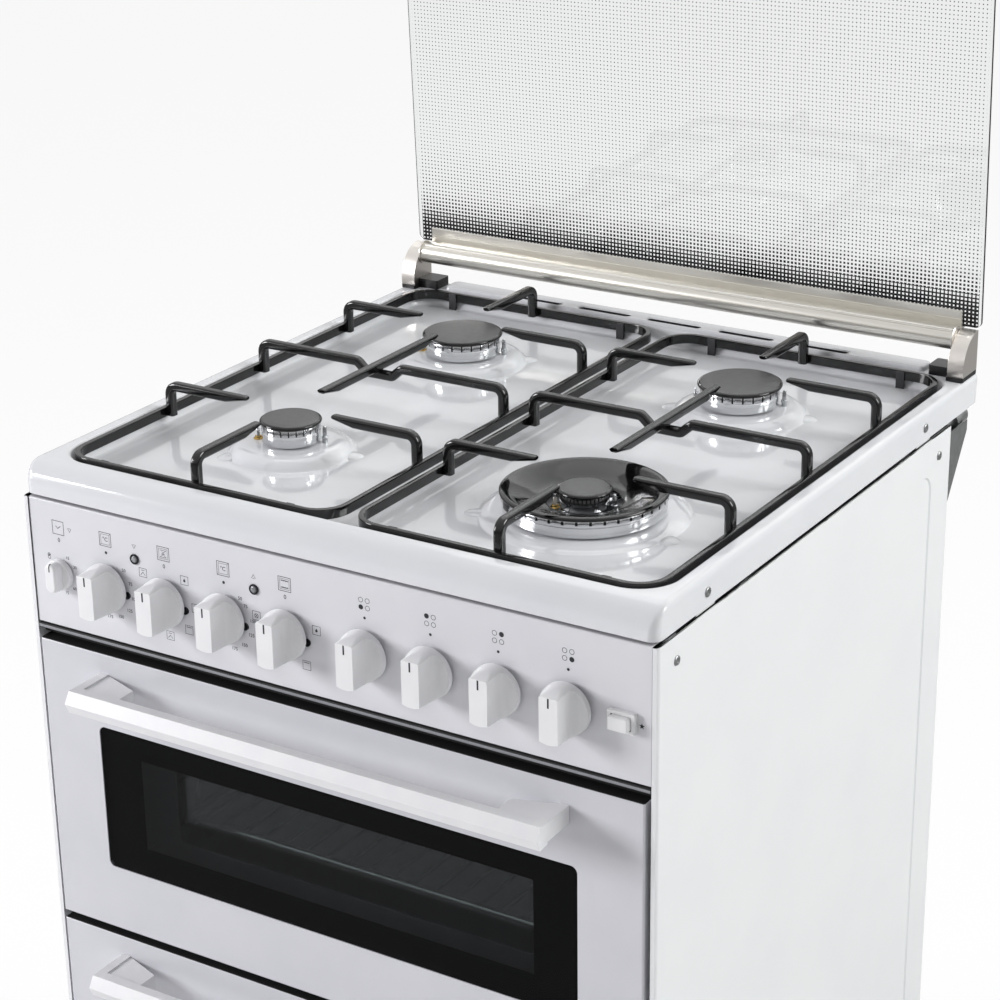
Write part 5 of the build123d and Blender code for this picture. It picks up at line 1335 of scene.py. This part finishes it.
def inkFrame(x, z, size, width=None):
    h = size / 2
    inkPath([(x - h, z - h), (x + h, z - h), (x + h, z + h), (x - h, z + h), (x - h, z - h)], width)


def inkDisc(x, z, r, steps=20):
    inkShape([(x + r * cos(tau * i / steps), z + r * sin(tau * i / steps)) for i in range(steps)])


def inkRing(x, z, r, width=0.45, steps=24):
    for i in range(steps):
        a, b = tau * i / steps, tau * (i + 1) / steps
        corners = ((r - width, a), (r, a), (r, b), (r - width, b))
        inkShape([(x + q * cos(t), z + q * sin(t)) for q, t in corners])


def inkStar(x, z, r):
    points = []
    for i in range(10):
        reach = r if i % 2 == 0 else r * 0.42
        points.append((x + reach * cos(radians(90 + 36 * i)), z + reach * sin(radians(90 + 36 * i))))
    for i in range(0, 10, 2):
        inkShape([(x, z), points[i - 1], points[i], points[i + 1]])


def inkText(words, x, z, size):
    deselectAll()
    bpy.ops.object.text_add(location=(0, 0, 0))
    label = bpy.context.active_object
    label.data.body = words
    label.data.size = size * mm * 1.42
    label.data.offset = 0.05 * mm
    label.data.align_x = "CENTER"
    label.data.align_y = "CENTER"
    label.data.resolution_u = 3
    bpy.ops.object.convert(target="MESH")
    label.rotation_euler = (radians(90), 0, 0)
    label.location = (x * mm, inkY, rimZ + z * mm)
    freeze(label)
    return label


def around(x, z, angle, reach):
    # clockwise from the top, as a dial is read
    return x + reach * sin(radians(angle)), z + reach * cos(radians(angle))


def temperatureFrame(x, z):
    inkFrame(x, z, panelFacts["frame"])
    h = panelFacts["frame"] / 2
    for side in (-1, 1):
        inkPath([(x + side * (h - 1.6), z - h + 1.6), (x + side * (h - 1.6), z + h - 1.6)], 0.3)
        inkPath([(x + side * h, z + side * h), (x + side * (h - 1.6), z + side * (h - 1.6))], 0.3)
        inkPath([(x - h + 1.6, z + side * (h - 1.6)), (x + h - 1.6, z + side * (h - 1.6))], 0.3)


def inkOvenMarks():
    # a check mark, small arrows, a temperature frame for each thermostat and an oven for each selector
    z = panelFacts["frameZ"]
    frame, timer = panelFacts["frame"], panelFacts["timer"]
    first, second, third, fourth = panelFacts["ovenKnobs"]
    inkFrame(timer, z, frame)
    inkPath([(timer - 2.2, z + 1.2), (timer - 0.2, z - 0.6), (timer + 2.6, z + 1.6)], 0.6)
    for x, up in ((timer + 12.4, -1), ((first + second) / 2, -1), ((third + fourth) / 2, 1)):
        inkPath([(x - 1.9, z - up * 1.6), (x, z + up * 1.7), (x + 1.9, z - up * 1.6)], 0.35)
        inkPath([(x - 0.8, z - up * 1.6), (x + 0.8, z - up * 1.6)], 0.35)
    for x in (first, third):
        temperatureFrame(x, z)
        inkDisc(x, panelFacts["dotZ"], 1.35)
    inkFrame(second, z, frame)
    inkFrame(second, z, frame - 3.2, 0.3)
    inkPath([(second - 3, z + 3), (second + 3, z + 3), (second - 1.6, z - 0.4), (second + 1.6, z - 0.4),
             (second - 1.2, z + 1.8)], 0.35)
    inkPath([(second - 3, z - 3.1), (second, z - 0.6), (second + 3, z - 3.1), (second - 3, z - 3.1)], 0.4)
    inkFrame(fourth, z, frame)
    inkFrame(fourth, z, frame - 3.0, 0.3)
    for level in (3.0, -3.0):
        inkPath([(fourth - 3.2, z + level), (fourth + 3.2, z + level)], 0.7)
        for i in range(4):
            inkPath([(fourth - 2.7 + i * 1.8, z + level), (fourth - 2.2 + i * 1.8, z + level * 0.78)], 0.35)


def inkNumbers():
    facts = panelFacts
    first, second, third, fourth = facts["ovenKnobs"]
    labels = [inkText("°C", x, facts["frameZ"], 3.6) for x in (first, third)]
    labels += [inkText("0", x, facts["zeroZ"], 3.7) for x in (facts["timer"], second, fourth)]
    for i, number in enumerate(facts["minutes"]):
        x, z = around(facts["timer"], facts["timerZ"], 27 + 34.5 * i, 17.4)
        labels.append(inkText(str(number), x, z, 2.7))
    for knob, angles in zip((first, third), dialAngles):
        for number, angle in zip(facts["temperatures"], angles):
            x, z = around(knob, -knobDrop, angle, 25 if number < 100 else 27.6)
            labels.append(inkText(str(number), x, z, 2.9))
    return labels


def inkPalm():
    x, z = panelFacts["palm"]
    inkRing(x, z, 1.6, 0.45)
    for lean, reach in ((-34, 3.0), (-12, 3.9), (8, 4.0), (28, 3.4)):
        inkLine(around(x, z, lean, 1.5), around(x, z, lean, reach), 0.55)


def inkSelector(kind, x, z):
    # one small framed symbol beside a selector knob
    inkFrame(x, z, panelFacts["smallFrame"], 0.4)
    if kind == "flame":
        inkDisc(x, z - 0.3, 1.2)
        inkShape([(x - 0.8, z), (x + 0.8, z), (x, z + 2.1)])
    elif kind == "grill":
        inkLine((x - 2.4, z + 2.3), (x + 2.4, z + 2.3), 0.6)
    elif kind == "peak":
        inkPath([(x - 2.2, z - 2.1), (x, z + 0.4), (x + 2.2, z - 2.1)], 0.45)
        inkLine((x - 1.5, z + 2.1), (x + 1.5, z + 2.1), 0.45)
    elif kind == "fan":
        inkRing(x, z, 2.0, 0.4)
        inkLine((x - 1.4, z - 1.4), (x + 1.4, z + 1.4), 0.4)
        inkLine((x - 1.4, z + 1.4), (x + 1.4, z - 1.4), 0.4)


def inkHobMaps():
    # four rings over each gas knob, with the knob's own burner filled in
    for i, x in enumerate(panelFacts["gasKnobs"]):
        for j, (sx, sz) in enumerate(((-1, -1), (-1, 1), (1, 1), (1, -1))):
            spot = (x + sx * 3.1, panelFacts["frameZ"] + sz * 3.1)
            if j == i:
                inkDisc(*spot, 2.15)
            else:
                inkRing(*spot, 2.2, 0.42)
        inkDisc(x, panelFacts["dotZ"], 1.2)


def makePanelPrint():
    inkOvenMarks()
    labels = inkNumbers()
    inkPalm()
    for knob, marks in zip(panelFacts["ovenKnobs"][1::2], selectorMarks):
        for angle, kind in marks:
            inkSelector(kind, *around(knob, -knobDrop, angle, 30.5))
    inkHobMaps()
    inkStar(*panelFacts["star"], 2.6)
    prints = newPiece("panelPrint", inkPoints, inkFaces)
    prints = joinPieces("panelPrint", [prints] + labels)
    paintWith(prints, printInk)
    settle(prints, "root", slotOf["control_panel"])


lineFacts = {"half": 0.75, "top": 18.4, "length": 8, "timerHalf": 0.6, "timerRadius": 13.1, "timerRound": 2.5,
             "timerEnd": 6.5, "lift": 0.06}


def makeKnobLines():
    # the black pointer line on each knob's grip
    facts = lineFacts
    names = ("lower_thermostat", "lower_function", "upper_thermostat", "upper_function")
    gasNames = ("front_left", "rear_left", "rear_right", "front_right")
    knobs = [(name + "_knob", name) for name in names]
    knobs += [(name + "_knob", name + "_gas_knob") for name in gasNames]
    for node, body in knobs:
        low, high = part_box(node)
        face, top, half = low.y - 0.05 * mm, knobZ + facts["top"] * mm, facts["half"] * mm
        middle, foot = (low.x + high.x) / 2, top - facts["length"] * mm
        corners = [(middle - half, face, foot), (middle + half, face, foot), (middle + half, face, top),
                   (middle - half, face, top)]
        line = newPiece(node + "Line", corners, [(0, 1, 2, 3)])
        paintWith(line, printInk)
        settle(line, body, slotOf[node])


def makeTimerLine():
    # runs over the rounded edge of the timer knob and along its face
    facts = lineFacts
    low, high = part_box("timer_knob")
    x, z, half = (low.x + high.x) / 2, (low.z + high.z) / 2, facts["timerHalf"] * mm
    turn = (facts["timerRound"] + facts["lift"]) * mm
    rows = []
    for i in range(9):
        a = radians(90) * i / 8
        rows.append((low.y + facts["timerRound"] * mm - turn * sin(a),
                     z + (facts["timerRadius"] - facts["timerRound"]) * mm + turn * cos(a)))
    rows.append((low.y - facts["lift"] * mm, z + facts["timerEnd"] * mm))
    points = [(x + side * half, y, up) for y, up in rows for side in (-1, 1)]
    faces = [(2 * i, 2 * i + 2, 2 * i + 3, 2 * i + 1) for i in range(len(rows) - 1)]
    line = newPiece("timerLine", points, faces)
    paintWith(line, printInk)
    settle(line, "timer", slotOf["timer_knob"])


makePanelPrint()
makeKnobLines()
makeTimerLine()
print("marks printed")


# Floor, lamps and world. Lamp places, aims and sizes are in metres, powers in watts
def addFloor():
    deselectAll()
    bpy.ops.mesh.primitive_plane_add(size=60, location=(0, 8, 0))
    floor = bpy.context.active_object
    floor.name = "paleFloor"
    freeze(floor)
    material, tree = newMaterial("paleFloorPaint")
    place = addNode(tree, "ShaderNodeTexCoord")
    tone = mixColour(tree, noise(tree, 400, 2.0, place.outputs["Object"]), "#F4F4F4", "#F1F1F1")
    paint = addNode(tree, "ShaderNodeBsdfPrincipled", {"Roughness": 0.8}, {"Base Color": tone})
    rays = addNode(tree, "ShaderNodeLightPath")
    seen = fixedMath(tree, "MAXIMUM", rays.outputs["Is Camera Ray"], rays.outputs["Is Glossy Ray"])
    seen = fixedMath(tree, "MAXIMUM", seen, rays.outputs["Is Transmission Ray"])
    # reflections see a darker floor, as in a room with dark walls in front of the object
    mirrored = addNode(tree, "ShaderNodeMath", {"operation": "SUBTRACT", "use_clamp": True},
                       {0: rays.outputs["Is Glossy Ray"], 1: rays.outputs["Is Transmission Ray"]})
    level = ranged(tree, mirrored.outputs[0], 0.0, 1.0, whiteStrength, 0.3)
    glow = addNode(tree, "ShaderNodeEmission", {"Color": (1, 1, 1, 1)}, {"Strength": level})
    share = fixedMath(tree, "MULTIPLY", seen, 0.9)
    finishMaterial(tree, mixShader(tree, share, paint.outputs[0], glow.outputs[0]))
    paintWith(floor, material)


addFloor()

lampFacts = {
    "keyLamp": {"place": (3.2, 1.1, 2.7), "aim": (0, 0.1, 0.7), "size": (1.9, 1.8), "power": 104,
                "tint": (0.985, 1.0, 0.99)},
    "frontLamp": {"place": (-3.3, -2.5, 1.9), "aim": (0, -0.2, 0.8), "size": (1.5, 1.5), "power": 150,
                  "tint": (0.975, 0.97, 1.0)},
    "rearLamp": {"place": (-0.2, 1.9, 3.3), "aim": (0, 0, 0.9), "size": (3.2, 2.8), "power": 30,
                 "tint": (1.0, 1.0, 1.0)},
}


def addLamp(name, facts):
    data = bpy.data.lights.new(name, "AREA")
    data.shape = "RECTANGLE"
    data.size, data.size_y = facts["size"]
    data.energy = facts["power"]
    data.color = facts["tint"]
    lamp = linked(name, data)
    lamp.location = facts["place"]
    lamp.rotation_euler = (Vector(facts["aim"]) - Vector(facts["place"])).to_track_quat("-Z", "Y").to_euler()


for name, facts in lampFacts.items():
    addLamp(name, facts)


def setWorld(fill):
    # white to the camera and in reflections, softer as a light
    world = bpy.data.worlds.new("studioWorld")
    bpy.context.scene.world = world
    world.use_nodes = True
    tree = world.node_tree
    tree.nodes.clear()
    rays = addNode(tree, "ShaderNodeLightPath")
    seen = fixedMath(tree, "MAXIMUM", rays.outputs["Is Camera Ray"], rays.outputs["Is Transmission Ray"])
    soft = addNode(tree, "ShaderNodeBackground", {"Color": (1, 1, 1, 1), "Strength": fill})
    white = addNode(tree, "ShaderNodeBackground", {"Color": (1, 1, 1, 1), "Strength": whiteStrength})
    # reflections see the white ceiling fade towards the darker walls of the room
    ahead = addNode(tree, "ShaderNodeTexCoord")
    level = addNode(tree, "ShaderNodeSeparateXYZ", links={0: ahead.outputs["Generated"]})
    rise = ranged(tree, level.outputs["Z"], 0.0, 0.4, 0.3, whiteStrength)
    depth = ranged(tree, level.outputs["Y"], -0.9, 0.2, 0.6, 1.0)
    room = addNode(tree, "ShaderNodeBackground", {"Color": (1, 1, 1, 1)},
                   {"Strength": fixedMath(tree, "MULTIPLY", rise, depth)})
    glossy = mixShader(tree, rays.outputs["Is Glossy Ray"], soft.outputs[0], room.outputs[0])
    mixed = mixShader(tree, seen, glossy, white.outputs[0])
    addNode(tree, "ShaderNodeOutputWorld", links={"Surface": mixed})


setWorld(0.3)
bpy.context.scene.view_settings.view_transform = "Standard"
print("stage and lamps ready")
